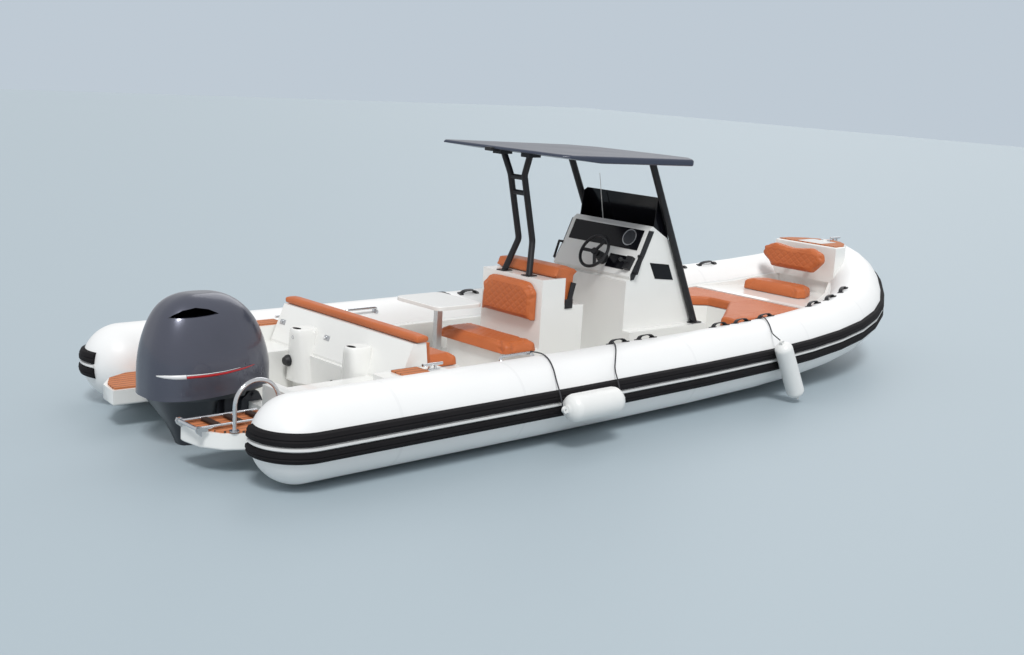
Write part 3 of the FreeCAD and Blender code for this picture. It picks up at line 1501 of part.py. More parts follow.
def build_clamp_bracket():
    inner_face = mm["transom_thick"] + mm["liner_wall"]
    top = mm["transom_top"]
    x = mm["tilt_x"]
    z = mm["tilt_z"]
    profile = (
        (-62, -135), (0, -135), (0, top), (inner_face, top), (inner_face, top - 130),
        (inner_face + 24, top - 130), (inner_face + 24, top - 30), (inner_face + 7, top + 20),
        (x + 45, z + 20), (x + 15, z + 37), (x - 20, z + 35), (-55, z - 25), (-70, 100), (-72, -100),
    )
    plate = side_profile(profile, mm["clamp_in"], mm["clamp_out"])
    window = side_profile(((-48, 60), (-22, 60), (-22, 200), (-48, 200)), mm["clamp_in"] - 1, mm["clamp_out"] + 1)
    plate = plate.cut(window)
    pin = round_bar(Vec(x, -mm["clamp_out"] - 18, z), Vec(x, mm["clamp_out"] + 18, z), mm["pin_radius"])
    foot = ram_foot()
    lower = round_bar(Vec(foot.x, -mm["clamp_in"] - 5, foot.z), Vec(foot.x, mm["clamp_in"] + 5, foot.z), 11)
    bracket = plate.multiFuse([mirrored(plate), pin, lower])
    keep("clamp_bracket", solid("clamp_bracket", bracket))


RAM_WAY = Vec(-0.242, 0, 0.970)
RAM_BARREL = 24
RAM_ROD = 10
RAM_BARREL_LONG = 215
RAM_REST = 282


def ram_foot():
    return Vec(-30, 0, -100)


def build_tilt_ram():
    foot = ram_foot()
    way = Vec(RAM_WAY).normalize()
    barrel = round_bar(foot - way * 4, foot + way * RAM_BARREL_LONG, RAM_BARREL)
    eye = round_bar(Vec(foot.x, -24, foot.z), Vec(foot.x, 24, foot.z), 23)
    bore = round_bar(foot, foot + way * (RAM_BARREL_LONG + 5), RAM_ROD + mm["running_gap"])
    pin_hole = round_bar(Vec(foot.x, -30, foot.z), Vec(foot.x, 30, foot.z), 11)
    keep("tilt_cylinder", solid("tilt_cylinder", barrel.fuse(eye).cut(bore).cut(pin_hole)))
    tip = foot + way * RAM_REST
    ram = round_bar(foot + way * RAM_REST * 0.12, tip, RAM_ROD)
    ring = round_bar(Vec(tip.x, -18, tip.z), Vec(tip.x, 18, tip.z), 15)
    hole = round_bar(Vec(tip.x, -20, tip.z), Vec(tip.x, 20, tip.z), 7)
    keep("tilt_rod", solid("tilt_rod", ram.fuse(ring).cut(hole)))


HOUSING_TOP = 300
HOUSING_FOOT = -100
CHEEK_IN = 60
CHEEK_OUT = 90
SHAFT_RADIUS = 20


def build_swivel():
    x = mm["tilt_x"]
    z = mm["tilt_z"]
    pole = -mm["steer_x"]
    lug = 40
    profile = (
        (x, z + lug), (pole + 30, HOUSING_TOP + 45), (pole + 6, HOUSING_TOP), (pole + 6, 190),
        (pole + 45, 150), (-62, 150), (-45, 190), (-24, 292), (x - 22, z - 33), (x, z - lug),
    )
    cheek = side_profile(profile, CHEEK_IN, CHEEK_OUT)
    knuckle = round_bar(Vec(x, CHEEK_IN, z), Vec(x, CHEEK_OUT, z), lug)
    shapes = [cheek, knuckle, mirrored(cheek), mirrored(knuckle)]
    shapes.append(round_bar(Vec(pole, 0, HOUSING_FOOT), Vec(pole, 0, HOUSING_TOP), mm["swivel_radius"]))
    shapes.append(block((pole + 6, -CHEEK_OUT, 190), (pole + 26, CHEEK_OUT, HOUSING_TOP)))
    bracket = shapes[0].multiFuse(shapes[1:])
    shaft = round_bar(Vec(pole, 0, HOUSING_FOOT - 1), Vec(pole, 0, HOUSING_TOP + 1), SHAFT_RADIUS + mm["running_gap"])
    pin = round_bar(Vec(x, -200, z), Vec(x, 200, z), mm["pin_radius"] + mm["running_gap"])
    keep("swivel_bracket", solid("swivel_bracket", bracket.cut(shaft).cut(pin)))


def cowl_ring(z, length_share, width_share, shift, inset=0, slant=0):
    # a rounded oblong in plan; the fore end is narrower than the aft end, and higher by the slant
    half_long = mm["cowl_half_length"] * length_share - inset
    half_wide = mm["cowl_half_width"] * width_share - inset
    centre = -mm["cowl_centre"] + shift
    points = []
    count = 24
    for number in range(count):
        angle = 2 * math.pi * number / count
        c = math.cos(angle)
        s = math.sin(angle)
        reach_x = abs(c) ** 0.72 * (1 if c >= 0 else -1)
        reach_y = abs(s) ** 0.72 * (1 if s >= 0 else -1)
        taper = 1 - 0.16 * max(0, reach_x)
        x = centre + half_long * reach_x
        lift = slant * (x + mm["cowl_centre"]) / mm["cowl_half_length"]
        points.append(Vec(x, half_wide * reach_y * taper, z + lift))
    curve = Part.BSplineCurve()
    curve.interpolate(points, True)
    return Part.Wire([curve.toShape()])


# The top cowl's rings from its seam up.
# columns: share of the height, share of the length, share of the width, shift forward
COWL_RINGS = (
    (0.0, 1.0, 1.0, 0),
    (0.20, 0.995, 0.99, 0),
    (0.42, 0.95, 0.945, -8),
    (0.60, 0.87, 0.86, -16),
    (0.76, 0.755, 0.735, -28),
    (0.885, 0.60, 0.57, -42),
    (0.965, 0.41, 0.38, -50),
    (1.0, 0.19, 0.16, -54),
)
LEVEL_SHARE = 0.42
# The air slot in each side of the cowl's crown, as an outline in x and z
COWL_SLOT = (
    (-618, 932), (-585, 955), (-528, 982), (-439, 998), (-353, 985), (-280, 952),
    (-360, 944), (-450, 938), (-540, 934),
)
LOWER_COWL_REACH = 165


def cowl_rings(start, high, inset):
    # the rings slope with the seam at the bottom and are level from part of the way up
    rings = []
    for share, *row in COWL_RINGS:
        slant = mm["seam_drop"] * max(0, 1 - share / LEVEL_SHARE)
        rings.append(cowl_ring(start + share * high, *row, inset=inset, slant=slant))
    return rings


def build_motor():
    base = mm["cowl_base"]
    high = mm["cowl_height"]
    wall = mm["cowl_wall"]
    pole = -mm["steer_x"]
    outer = Part.makeLoft(cowl_rings(base, high, 0), True)
    inner = Part.makeLoft(cowl_rings(base + wall, high - 2 * wall, wall), True)
    slots = both_sides(side_profile(COWL_SLOT, 60, 400))
    keep("top_cowl", solid("top_cowl", outer.cut(inner).cut(slots)))
    low = LOWER_COWL_FOOT
    seam = cowl_ring(base, 1.0, 1.0, 0, slant=mm["seam_drop"])
    tray = Part.makeLoft([cowl_ring(low, 0.955, 0.93, 0), seam], True, True)
    # the underside steps up ahead of the steering shaft, to pass over the clamp bracket
    chin = block((pole + 60, -400, low - 50), (300, 400, low + 30))
    chin = chin.cut(round_bar(Vec(pole, 0, low - 60), Vec(pole, 0, low + 40), LOWER_COWL_REACH))
    keep("lower_cowl", solid("lower_cowl", tray.cut(chin)))
    centre = -mm["cowl_centre"]
    engine = block((centre - 190, -125, base - 40), (centre + 110, 125, base + 300))
    keep("powerhead", solid("powerhead", engine.common(inner)))

    leg = Part.makeLoft([leg_ring(*row) for row in LEG_RINGS], True)
    shaft = round_bar(Vec(pole, 0, HOUSING_FOOT - 20), Vec(pole, 0, HOUSING_TOP + 12), SHAFT_RADIUS)
    upper = block((pole - 110, -45, HOUSING_TOP + 5), (pole + 20, 45, HOUSING_TOP + 32))
    lower = block((pole - 150, -45, HOUSING_FOOT - 38), (pole + 24, 45, HOUSING_FOOT - 5))
    keep("leg_housing", solid("leg_housing", leg.multiFuse([shaft, upper, lower])))

    plate = -mm["plate_depth"]
    axis = -mm["prop_depth"]
    foil = Part.makeLoft(
        [foil_ring(plate, -430, 330, 92), foil_ring(axis - 10, -440, 330, 84)], True, True
    )
    skeg = Part.makeLoft(
        [foil_ring(axis, -430, 300, 60), foil_ring(-mm["skeg_depth"], -470, 120, 12)], True, True
    )
    bullet = Part.Face(polygon([
        Vec(-235, 0, axis), Vec(-250, 0, axis + 26), Vec(-290, 0, axis + 48), Vec(-360, 0, axis + 62),
        Vec(-520, 0, axis + 64), Vec(-600, 0, axis + 58), Vec(-mm["prop_x"] + 6, 0, axis + 54),
        Vec(-mm["prop_x"] + 6, 0, axis),
    ])).revolve(Vec(0, 0, axis), Vec(1, 0, 0), 360)
    fence = prism(
        [
            Vec(-280, -70, plate), Vec(-250, 0, plate), Vec(-280, 70, plate), Vec(-480, 130, plate),
            Vec(-700, 150, plate), Vec(-790, 110, plate), Vec(-800, 0, plate), Vec(-790, -110, plate),
            Vec(-700, -150, plate), Vec(-480, -130, plate),
        ],
        Vec(0, 0, 14),
    )
    tail = round_bar(Vec(-600, 0, axis), Vec(-mm["prop_x"] - mm["hub_length"] - 22, 0, axis), 15)
    keep("gearcase", solid("gearcase", foil.multiFuse([skeg, bullet, fence, tail])))
    build_propeller()


LOWER_COWL_FOOT = 366
# The leg's rings: height, fore face, aft face, half width
LEG_RINGS = (
    (LOWER_COWL_FOOT, -222, -700, 235),
    (250, -218, -610, 165),
    (60, -222, -500, 90),
    (-150, -240, -440, 60),
    (-321, -262, -450, 62),
)


def leg_ring(z, fore, aft, half_wide):
    centre = (fore + aft) / 2
    half_long = (fore - aft) / 2
    points = []
    count = 16
    for number in range(count):
        angle = 2 * math.pi * number / count
        c = math.cos(angle)
        s = math.sin(angle)
        reach_x = abs(c) ** 0.6 * (1 if c >= 0 else -1)
        reach_y = abs(s) ** 0.6 * (1 if s >= 0 else -1)
        points.append(Vec(centre + half_long * reach_x, half_wide * reach_y, z))
    curve = Part.BSplineCurve()
    curve.interpolate(points, True)
    return Part.Wire([curve.toShape()])


def foil_ring(z, centre, long, thick):
    shares = ((0.5, 0.0), (0.42, 0.30), (0.25, 0.47), (0.0, 0.5), (-0.25, 0.36), (-0.5, 0.06))
    points = [Vec(centre + long * a, thick * b, z) for a, b in shares]
    points += [Vec(centre + long * a, -thick * b, z) for a, b in reversed(shares[1:])]
    return polygon(points)


BLADES = 3
PITCH = 430
# Blade sections: share of the radius, chord, thickness
BLADE_ROWS = ((0.22, 120, 16), (0.55, 175, 10), (0.85, 150, 6), (1.0, 60, 3))


def blade_ring(share, chord, thick):
    radius = share * mm["prop_radius"]
    slope = math.atan2(PITCH, 2 * math.pi * radius)
    along_blade = Vec(-math.sin(slope), math.cos(slope), 0)
    across = Vec(math.cos(slope), math.sin(slope), 0)
    middle = Vec(0, 0, radius)
    corners = ((-0.5, 0.0), (-0.2, 0.5), (0.25, 0.5), (0.5, 0.0), (0.25, -0.5), (-0.2, -0.5))
    return polygon([middle + along_blade * (chord * a) + across * (thick * b) for a, b in corners])


def build_propeller():
    axis = Vec(-mm["prop_x"] - mm["hub_length"] / 2, 0, -mm["prop_depth"])
    half = mm["hub_length"] / 2
    radius = mm["hub_radius"]
    hub = Part.makeCone(radius * 0.93, radius, mm["hub_length"], Vec(-half, 0, 0), Vec(1, 0, 0))
    blade = Part.makeLoft([blade_ring(*row) for row in BLADE_ROWS], True, True)
    clip = Part.makeCylinder(mm["prop_radius"], 400, Vec(-200, 0, 0), Vec(1, 0, 0))
    blades = [turned(blade, Vec(1, 0, 0), 360 / BLADES * number).common(clip) for number in range(BLADES)]
    bore = Part.makeCylinder(15 + mm["running_gap"], 400, Vec(-200, 0, 0), Vec(1, 0, 0))
    prop = hub.multiFuse(blades).cut(bore)
    prop.translate(axis)
    keep("propeller", solid("propeller", prop))


GLAND_Y = 404
GLAND_Z = 391
CONDUIT_RADIUS = 28


def build_rigging(hoods, liner, clamp):
    # the boot on the port hood, and the rigging tube along the well's floor to the clamp bracket
    foot = mm["well_length"] - 60
    gland = Part.makeCylinder(46, 72, Vec(foot, GLAND_Y, GLAND_Z), Vec(-1, 0, 0))
    boot = Part.makeCone(46, 30, 28, Vec(foot - 72, GLAND_Y, GLAND_Z), Vec(-1, 0, 0))
    floor = mm["well_floor"] + CONDUIT_RADIUS + 2
    start = Vec(mm["well_length"] - 20, -60, floor + 150)
    route = [start, Vec(610, -80, floor + 65), Vec(380, -105, floor), Vec(122, -122, floor)]
    conduit = bent_rod(route, CONDUIT_RADIUS, 120)
    pieces = [gland.fuse(boot).cut(hoods), conduit.cut(liner).cut(clamp)]
    keep("rigging_gland", solid("rigging_gland", compound(pieces)))


def check_parts():
    doc.recompute()
    for item in doc.Objects:
        if "Invalid" in item.State or "Error" in item.State:
            raise RuntimeError(item.Name + " did not recompute: " + str(item.State))
    for name, piece in parts.items():
        shape = piece.Shape
        if shape.isNull() or not shape.isValid() or not shape.Solids:
            raise RuntimeError(name + " is not a valid solid")


def main():
    tube, form = build_hull()
    collar = parts["tube_collar"]
    platform_pads = build_platforms(collar)
    build_grab_arch()
    build_ladder()
    build_stern_bench(parts["deck_liner"])
    doc.recompute()
    build_vents(parts["stern_bench"].Shape, parts["deck_liner"].Shape)
    build_quarters(collar, form, platform_pads)
    build_table()
    build_seat_module()
    hardtop = build_hardtop()
    build_mast(hardtop)
    build_console()
    build_helm()
    build_bow(tube, form, parts["deck_liner"].Shape)
    build_tube_handles(tube)
    build_fittings(tube)
    build_fenders(tube)
    build_fender_lines()
    build_clamp_bracket()
    build_tilt_ram()
    build_swivel()
    build_motor()
    build_rigging(parts["vent_hoods"].Shape, parts["deck_liner"].Shape, parts["clamp_bracket"].Shape)
    check_parts()


def export_parts():
    os.makedirs("parts", exist_ok=True)
    for name, piece in parts.items():
        piece.Shape.exportStep("parts/" + name + ".step")
    print(len(parts), "sub-parts written")


main()
export_parts()
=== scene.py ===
# A rigid inflatable boat with an outboard motor, afloat at its waterline.
import json
import math
import bmesh
import bpy
from mathutils import Matrix, Vector


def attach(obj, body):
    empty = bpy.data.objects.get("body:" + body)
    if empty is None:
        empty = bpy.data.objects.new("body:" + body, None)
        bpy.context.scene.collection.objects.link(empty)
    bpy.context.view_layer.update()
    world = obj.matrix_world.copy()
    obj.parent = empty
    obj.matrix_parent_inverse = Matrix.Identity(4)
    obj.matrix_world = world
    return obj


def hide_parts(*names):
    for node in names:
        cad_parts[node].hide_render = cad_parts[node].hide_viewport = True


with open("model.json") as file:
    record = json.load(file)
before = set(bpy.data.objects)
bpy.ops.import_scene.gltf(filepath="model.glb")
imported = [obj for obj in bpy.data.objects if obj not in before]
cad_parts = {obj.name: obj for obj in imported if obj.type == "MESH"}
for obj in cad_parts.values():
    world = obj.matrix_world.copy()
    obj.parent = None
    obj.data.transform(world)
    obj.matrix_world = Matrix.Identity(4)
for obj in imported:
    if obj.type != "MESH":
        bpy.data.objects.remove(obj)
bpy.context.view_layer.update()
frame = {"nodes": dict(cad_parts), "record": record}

cadNodes = frame["nodes"]
scene = bpy.context.scene
scene.view_settings.view_transform = "Standard"
print("frame loaded with", len(cadNodes), "nodes")


# ---- camera, light and the water's level

cameraView = {
    "place": (-4.767, -8.049, 2.737),
    "heading": 47.379,       # degrees from the bow's direction towards port
    "dip": 11.304,           # degrees below the horizon
    "roll": 3.423,
    "lens": 46.13,
    "sensor": 36.0,
    "reach": 200,
}


def addCamera(view):
    heading, dip, roll = (math.radians(view[key]) for key in ("heading", "dip", "roll"))
    ahead = Vector((math.cos(heading) * math.cos(dip), math.sin(heading) * math.cos(dip), -math.sin(dip)))
    level = Vector((math.sin(heading), -math.cos(heading), 0))
    overhead = level.cross(ahead)
    right = level * math.cos(roll) + overhead * math.sin(roll)
    up = overhead * math.cos(roll) - level * math.sin(roll)
    camera = bpy.data.cameras.new("photoCamera")
    camera.lens = view["lens"]
    camera.sensor_width = view["sensor"]
    camera.clip_end = view["reach"]
    holder = bpy.data.objects.new("photoCamera", camera)
    turn = Matrix((right, up, -ahead)).transposed().to_4x4()
    holder.matrix_world = Matrix.Translation(view["place"]) @ turn
    scene.collection.objects.link(holder)
    scene.camera = holder


light = {
    "sunFrom": (-0.50, -0.62, 1.00),
    "sunPower": 1.9,
    "sunSize": 14,           # degrees, so the shadows are soft
    "fillFrom": (0.9, 0.6, 0.8),
    "fillPower": 0.45,
    "fillSize": 40,
    "skyColour": (0.93, 0.95, 0.98),
    "skyPower": 0.70,
    "backColour": (0.52, 0.59, 0.66),
    "floorColour": (0.38, 0.45, 0.49),
    "floorSize": 120,
    "floorMiddle": (3.5, 0, 0),
    "floorRoughness": 0.55,
}


def addSun(name, origin, power, size):
    lamp = bpy.data.lights.new(name, "SUN")
    lamp.energy = power
    lamp.angle = math.radians(size)
    holder = bpy.data.objects.new(name, lamp)
    holder.rotation_euler = Vector(origin).to_track_quat("Z", "Y").to_euler()
    scene.collection.objects.link(holder)


def addWorld():
    world = bpy.data.worlds.new("studio")
    scene.world = world
    world.use_nodes = True
    tree = world.node_tree
    tree.nodes.clear()
    output = tree.nodes.new("ShaderNodeOutputWorld")
    soft = tree.nodes.new("ShaderNodeBackground")
    soft.inputs["Color"].default_value = (*light["skyColour"], 1)
    soft.inputs["Strength"].default_value = light["skyPower"]
    back = tree.nodes.new("ShaderNodeBackground")
    back.inputs["Color"].default_value = (*light["backColour"], 1)
    seen = tree.nodes.new("ShaderNodeLightPath")
    mix = tree.nodes.new("ShaderNodeMixShader")
    tree.links.new(seen.outputs["Is Camera Ray"], mix.inputs[0])
    tree.links.new(soft.outputs[0], mix.inputs[1])
    tree.links.new(back.outputs[0], mix.inputs[2])
    tree.links.new(mix.outputs[0], output.inputs["Surface"])


def addFloor():
    bpy.ops.object.select_all(action="DESELECT")
    bpy.ops.mesh.primitive_plane_add(size=light["floorSize"], location=light["floorMiddle"])
    floor = bpy.context.object
    floor.name = "studioFloor"
    look = bpy.data.materials.new("studioFloor")
    look.use_nodes = True
    shader = look.node_tree.nodes["Principled BSDF"]
    shader.inputs["Base Color"].default_value = (*light["floorColour"], 1)
    shader.inputs["Roughness"].default_value = light["floorRoughness"]
    floor.data.materials.append(look)


addCamera(cameraView)
addSun("keySun", light["sunFrom"], light["sunPower"], light["sunSize"])
addSun("fillSun", light["fillFrom"], light["fillPower"], light["fillSize"])
addWorld()
addFloor()
print("camera, lamps and floor are set")


# ---- finishes

finishes = {
    "tubeSkin": {
        "colour": (0.86, 0.86, 0.85), "shade": (0.79, 0.79, 0.78), "blotch": 1.6,
        "roughness": (0.34, 0.50), "grain": 420, "bump": 0.05, "seams": True,
    },
    "strakeRubber": {
        "colour": (0.008, 0.007, 0.008), "shade": (0.014, 0.013, 0.014), "blotch": 5,
        "roughness": (0.58, 0.74), "grain": 260, "bump": 0.12, "shine": 0.12,
    },
    "stripeRubber": {
        "colour": (0.78, 0.78, 0.77), "shade": (0.66, 0.66, 0.65), "blotch": 4,
        "roughness": (0.35, 0.5), "grain": 300, "bump": 0.06,
    },
    "gelcoat": {
        "colour": (0.85, 0.85, 0.825), "shade": (0.80, 0.80, 0.77), "blotch": 1.1,
        "roughness": (0.14, 0.26), "grain": 60, "bump": 0.012, "coat": 0.35,
    },
    "bottomGelcoat": {
        "colour": (0.76, 0.76, 0.74), "shade": (0.62, 0.64, 0.62), "blotch": 2.2,
        "roughness": (0.2, 0.36), "grain": 60, "bump": 0.02, "coat": 0.25,
    },
    "caramelLeather": {
        "colour": (0.56, 0.150, 0.040), "shade": (0.47, 0.115, 0.030), "blotch": 6,
        "roughness": (0.42, 0.58), "grain": 230, "bump": 0.22, "leather": True,
    },
    "caramelFoam": {
        "colour": (0.55, 0.19, 0.070), "shade": (0.46, 0.145, 0.050), "blotch": 9,
        "roughness": (0.6, 0.8), "grain": 500, "bump": 0.25, "planks": 0.055,
    },
    "polishedSteel": {
        "colour": (0.74, 0.75, 0.76), "shade": (0.62, 0.63, 0.65), "blotch": 8,
        "roughness": (0.08, 0.2), "grain": 300, "bump": 0.01, "metal": 1.0,
    },
    "brushedAlloy": {
        "colour": (0.62, 0.63, 0.64), "shade": (0.52, 0.53, 0.54), "blotch": 10,
        "roughness": (0.28, 0.42), "grain": 240, "bump": 0.05, "metal": 1.0,
    },
    "blackPowder": {
        "colour": (0.010, 0.010, 0.012), "shade": (0.017, 0.017, 0.020), "blotch": 5,
        "roughness": (0.36, 0.48), "grain": 480, "bump": 0.06, "shine": 0.35,
    },
    "blackPlastic": {
        "colour": (0.014, 0.014, 0.016), "shade": (0.024, 0.024, 0.026), "blotch": 7,
        "roughness": (0.42, 0.56), "grain": 520, "bump": 0.10, "shine": 0.35,
    },
    "screenBlack": {
        "colour": (0.003, 0.003, 0.005), "shade": (0.005, 0.005, 0.007), "blotch": 3,
        "roughness": (0.10, 0.18), "grain": 50, "bump": 0.0, "shine": 0.22,
    },
    "canopyPaint": {
        "colour": (0.040, 0.050, 0.080), "shade": (0.030, 0.038, 0.062), "blotch": 1.4,
        "roughness": (0.30, 0.42), "grain": 40, "bump": 0.012, "coat": 0.10, "shine": 0.32,
    },
    "motorPaint": {
        "colour": (0.086, 0.091, 0.122), "shade": (0.064, 0.068, 0.093), "blotch": 2.4,
        "roughness": (0.24, 0.34), "grain": 900, "bump": 0.008, "coat": 0.5, "metal": 0.45,
    },
    "motorDark": {
        "colour": (0.014, 0.017, 0.024), "shade": (0.022, 0.026, 0.034), "blotch": 4,
        "roughness": (0.28, 0.42), "grain": 300, "bump": 0.03, "coat": 0.2,
    },
    "bracketGrey": {
        "colour": (0.060, 0.065, 0.078), "shade": (0.045, 0.048, 0.058), "blotch": 6,
        "roughness": (0.34, 0.48), "grain": 260, "bump": 0.04, "metal": 0.3,
    },
    "castIron": {
        "colour": (0.05, 0.05, 0.055), "shade": (0.03, 0.03, 0.032), "blotch": 9,
        "roughness": (0.5, 0.7), "grain": 160, "bump": 0.2, "metal": 0.4,
    },
    "propellerSteel": {
        "colour": (0.55, 0.56, 0.58), "shade": (0.42, 0.43, 0.45), "blotch": 12,
        "roughness": (0.18, 0.34), "grain": 120, "bump": 0.03, "metal": 1.0,
    },
    "fenderSkin": {
        "colour": (0.82, 0.82, 0.80), "shade": (0.74, 0.74, 0.72), "blotch": 5,
        "roughness": (0.30, 0.44), "grain": 200, "bump": 0.03,
    },
    "blackRope": {
        "colour": (0.020, 0.020, 0.024), "shade": (0.040, 0.040, 0.046), "blotch": 120,
        "roughness": (0.7, 0.9), "grain": 900, "bump": 0.6,
    },
    "whiteLine": {
        "colour": (0.80, 0.80, 0.80), "shade": (0.72, 0.72, 0.72), "blotch": 6,
        "roughness": (0.25, 0.35), "grain": 90, "bump": 0.0,
    },
    "redLine": {
        "colour": (0.50, 0.018, 0.022), "shade": (0.42, 0.014, 0.018), "blotch": 6,
        "roughness": (0.25, 0.35), "grain": 90, "bump": 0.0,
    },
    "gaugeFace": {
        "colour": (0.030, 0.032, 0.036), "shade": (0.050, 0.052, 0.058), "blotch": 40,
        "roughness": (0.12, 0.2), "grain": 90, "bump": 0.0, "coat": 0.5,
    },
    "gripRubber": {
        "colour": (0.010, 0.009, 0.009), "shade": (0.020, 0.018, 0.018), "blotch": 14,
        "roughness": (0.6, 0.8), "grain": 300, "bump": 0.3, "planks": 0.012, "shine": 0.25,
    },
    # painted shade: near black, for the sheet inside each vent hood's mouth
    "ventShadeSheet": {
        "colour": (0.004, 0.004, 0.004), "shade": (0.008, 0.008, 0.008), "blotch": 12,
        "roughness": (0.8, 0.95), "grain": 90, "bump": 0.05, "shine": 0.1,
    },
    "lampGlass": {
        "colour": (0.75, 0.78, 0.80), "shade": (0.60, 0.62, 0.64), "blotch": 20,
        "roughness": (0.05, 0.15), "grain": 90, "bump": 0.02, "coat": 0.8,
    },
}


def mathNode(tree, work, first, second=None):
    node = tree.nodes.new("ShaderNodeMath")
    node.operation = work
    for socket, value in zip(node.inputs, (first, second)):
        if value is None:
            continue
        if isinstance(value, (int, float)):
            socket.default_value = value
        else:
            tree.links.new(value, socket)
    return node.outputs[0]


def mixColour(tree, factor, first, second):
    node = tree.nodes.new("ShaderNodeMix")
    node.data_type = "RGBA"
    for socket, value in ((node.inputs[0], factor), (node.inputs[6], first), (node.inputs[7], second)):
        if isinstance(value, tuple):
            socket.default_value = (*value, 1)
        elif isinstance(value, (int, float)):
            socket.default_value = value
        else:
            tree.links.new(value, socket)
    return node.outputs[2]


def noiseNode(tree, place, scale, detail=3):
    node = tree.nodes.new("ShaderNodeTexNoise")
    node.inputs["Scale"].default_value = scale
    node.inputs["Detail"].default_value = detail
    tree.links.new(place, node.inputs["Vector"])
    return node.outputs[0]


def lineAcross(tree, value, spot, width):
    # 1 within the width of the spot, else 0
    offset = mathNode(tree, "SUBTRACT", value, spot)
    return mathNode(tree, "LESS_THAN", mathNode(tree, "ABSOLUTE", offset), width)


# the leather's grain as a bump, and painted shade that darkens the grain's creases
leatherGrainAndCreaseShade = {"depth": 0.25, "rise": 3.0, "crease": 0.05, "strength": 0.25, "paintedCreaseShade": 0.6}
plankGroove = {"width": 0.0035, "colour": (0.05, 0.022, 0.012)}
tubeSeams = {
    "stations": (0.35, 1.45, 3.35, 4.95, 6.05), "width": 0.012, "strength": 0.10, "rise": 3.0,
    "colour": (0.45, 0.46, 0.47),
}
bumpDistance = 0.001


def makeFinish(name, look):
    finish = bpy.data.materials.new(name)
    finish.use_nodes = True
    tree = finish.node_tree
    shader = tree.nodes["Principled BSDF"]
    place = tree.nodes.new("ShaderNodeTexCoord").outputs["Object"]
    blotch = noiseNode(tree, place, look["blotch"], 4)
    grain = noiseNode(tree, place, look["grain"], 2)
    colour = mixColour(tree, blotch, look["colour"], look["shade"])
    height = grain
    if look.get("leather"):
        cells = tree.nodes.new("ShaderNodeTexVoronoi")
        cells.feature = "DISTANCE_TO_EDGE"
        cells.inputs["Scale"].default_value = look["grain"]
        tree.links.new(place, cells.inputs["Vector"])
        edge = cells.outputs["Distance"]
        crease = mathNode(tree, "MINIMUM", edge, leatherGrainAndCreaseShade["depth"])
        height = mathNode(tree, "MULTIPLY", crease, leatherGrainAndCreaseShade["rise"])
        # painted shade: the grain's creases are darkened
        dark = mathNode(tree, "LESS_THAN", edge, leatherGrainAndCreaseShade["crease"])
        paintedCreaseShade = tuple(value * leatherGrainAndCreaseShade["paintedCreaseShade"] for value in look["shade"])
        colour = mixColour(tree, mathNode(tree, "MULTIPLY", dark, leatherGrainAndCreaseShade["strength"]), colour, paintedCreaseShade)
    apart = tree.nodes.new("ShaderNodeSeparateXYZ")
    tree.links.new(place, apart.inputs[0])
    if look.get("planks"):
        step = mathNode(tree, "PINGPONG", apart.outputs["Y"], look["planks"] / 2)
        groove = mathNode(tree, "LESS_THAN", step, plankGroove["width"])
        colour = mixColour(tree, groove, colour, plankGroove["colour"])
        height = mathNode(tree, "SUBTRACT", height, groove)
    if look.get("seams"):
        band = None
        for station in tubeSeams["stations"]:
            line = lineAcross(tree, apart.outputs["X"], station, tubeSeams["width"])
            band = line if band is None else mathNode(tree, "MAXIMUM", band, line)
        tint = mathNode(tree, "MULTIPLY", band, tubeSeams["strength"])
        colour = mixColour(tree, tint, colour, tubeSeams["colour"])
        height = mathNode(tree, "ADD", height, mathNode(tree, "MULTIPLY", band, tubeSeams["rise"]))
    tree.links.new(colour, shader.inputs["Base Color"])
    low, high = look["roughness"]
    spread = mathNode(tree, "MULTIPLY_ADD", blotch, high - low)
    spread.node.inputs[2].default_value = low
    tree.links.new(spread, shader.inputs["Roughness"])
    shader.inputs["Metallic"].default_value = look.get("metal", 0.0)
    shader.inputs["Coat Weight"].default_value = look.get("coat", 0.0)
    shader.inputs["Specular IOR Level"].default_value = look.get("shine", 0.5)
    if look["bump"]:
        bump = tree.nodes.new("ShaderNodeBump")
        bump.inputs["Strength"].default_value = look["bump"]
        bump.inputs["Distance"].default_value = bumpDistance
        tree.links.new(height, bump.inputs["Height"])
        tree.links.new(bump.outputs[0], shader.inputs["Normal"])
    return finish


finish = {name: makeFinish(name, look) for name, look in finishes.items()}
print("finishes made:", len(finish))

nodeFinish = {
    "tubeSkin": ("tube_collar",),
    "strakeRubber": ("rub_strakes",),
    "stripeRubber": ("strake_stripe",),
    "bottomGelcoat": ("hull",),
    "gelcoat": (
        "deck_liner", "swim_platforms", "stern_bench", "vent_hoods", "quarter_blocks", "seat_module",
        "console", "bow_step", "anchor_locker_lid", "table_top", "antenna",
    ),
    "canopyPaint": ("hardtop",),
    "caramelFoam": ("deck_pads", "bow_decking"),
    "polishedSteel": (
        "grab_arch", "boarding_ladder", "ladder_hinge", "deck_fittings", "towing_eyes", "locker_hinge",
        "tilt_rod",
    ),
    "brushedAlloy": ("table_pedestal",),
    "blackPowder": ("rear_mast", "front_legs", "bolster_hinges", "backrest_bracket", "console_rails"),
    "blackPlastic": ("helm_controls", "steering_wheel", "stern_lamp", "rigging_gland", "tube_handles"),
    "screenBlack": ("console_glass", "dash_panels"),
    "fenderSkin": ("fender_aft", "fender_fore"),
    "motorPaint": ("top_cowl",),
    "motorDark": ("lower_cowl", "leg_housing", "gearcase"),
    "bracketGrey": ("clamp_bracket", "swivel_bracket", "tilt_cylinder"),
    "castIron": ("powerhead",),
    "propellerSteel": ("propeller",),
}


def dressNodes():
    for name, members in nodeFinish.items():
        for member in members:
            piece = cadNodes[member]
            if not piece.material_slots:
                piece.data.materials.append(finish[name])
            for place in piece.material_slots:
                place.material = finish[name]


dressNodes()
print("rigid nodes dressed")


# ---- curved nodes again as merged, smooth-shaded copies

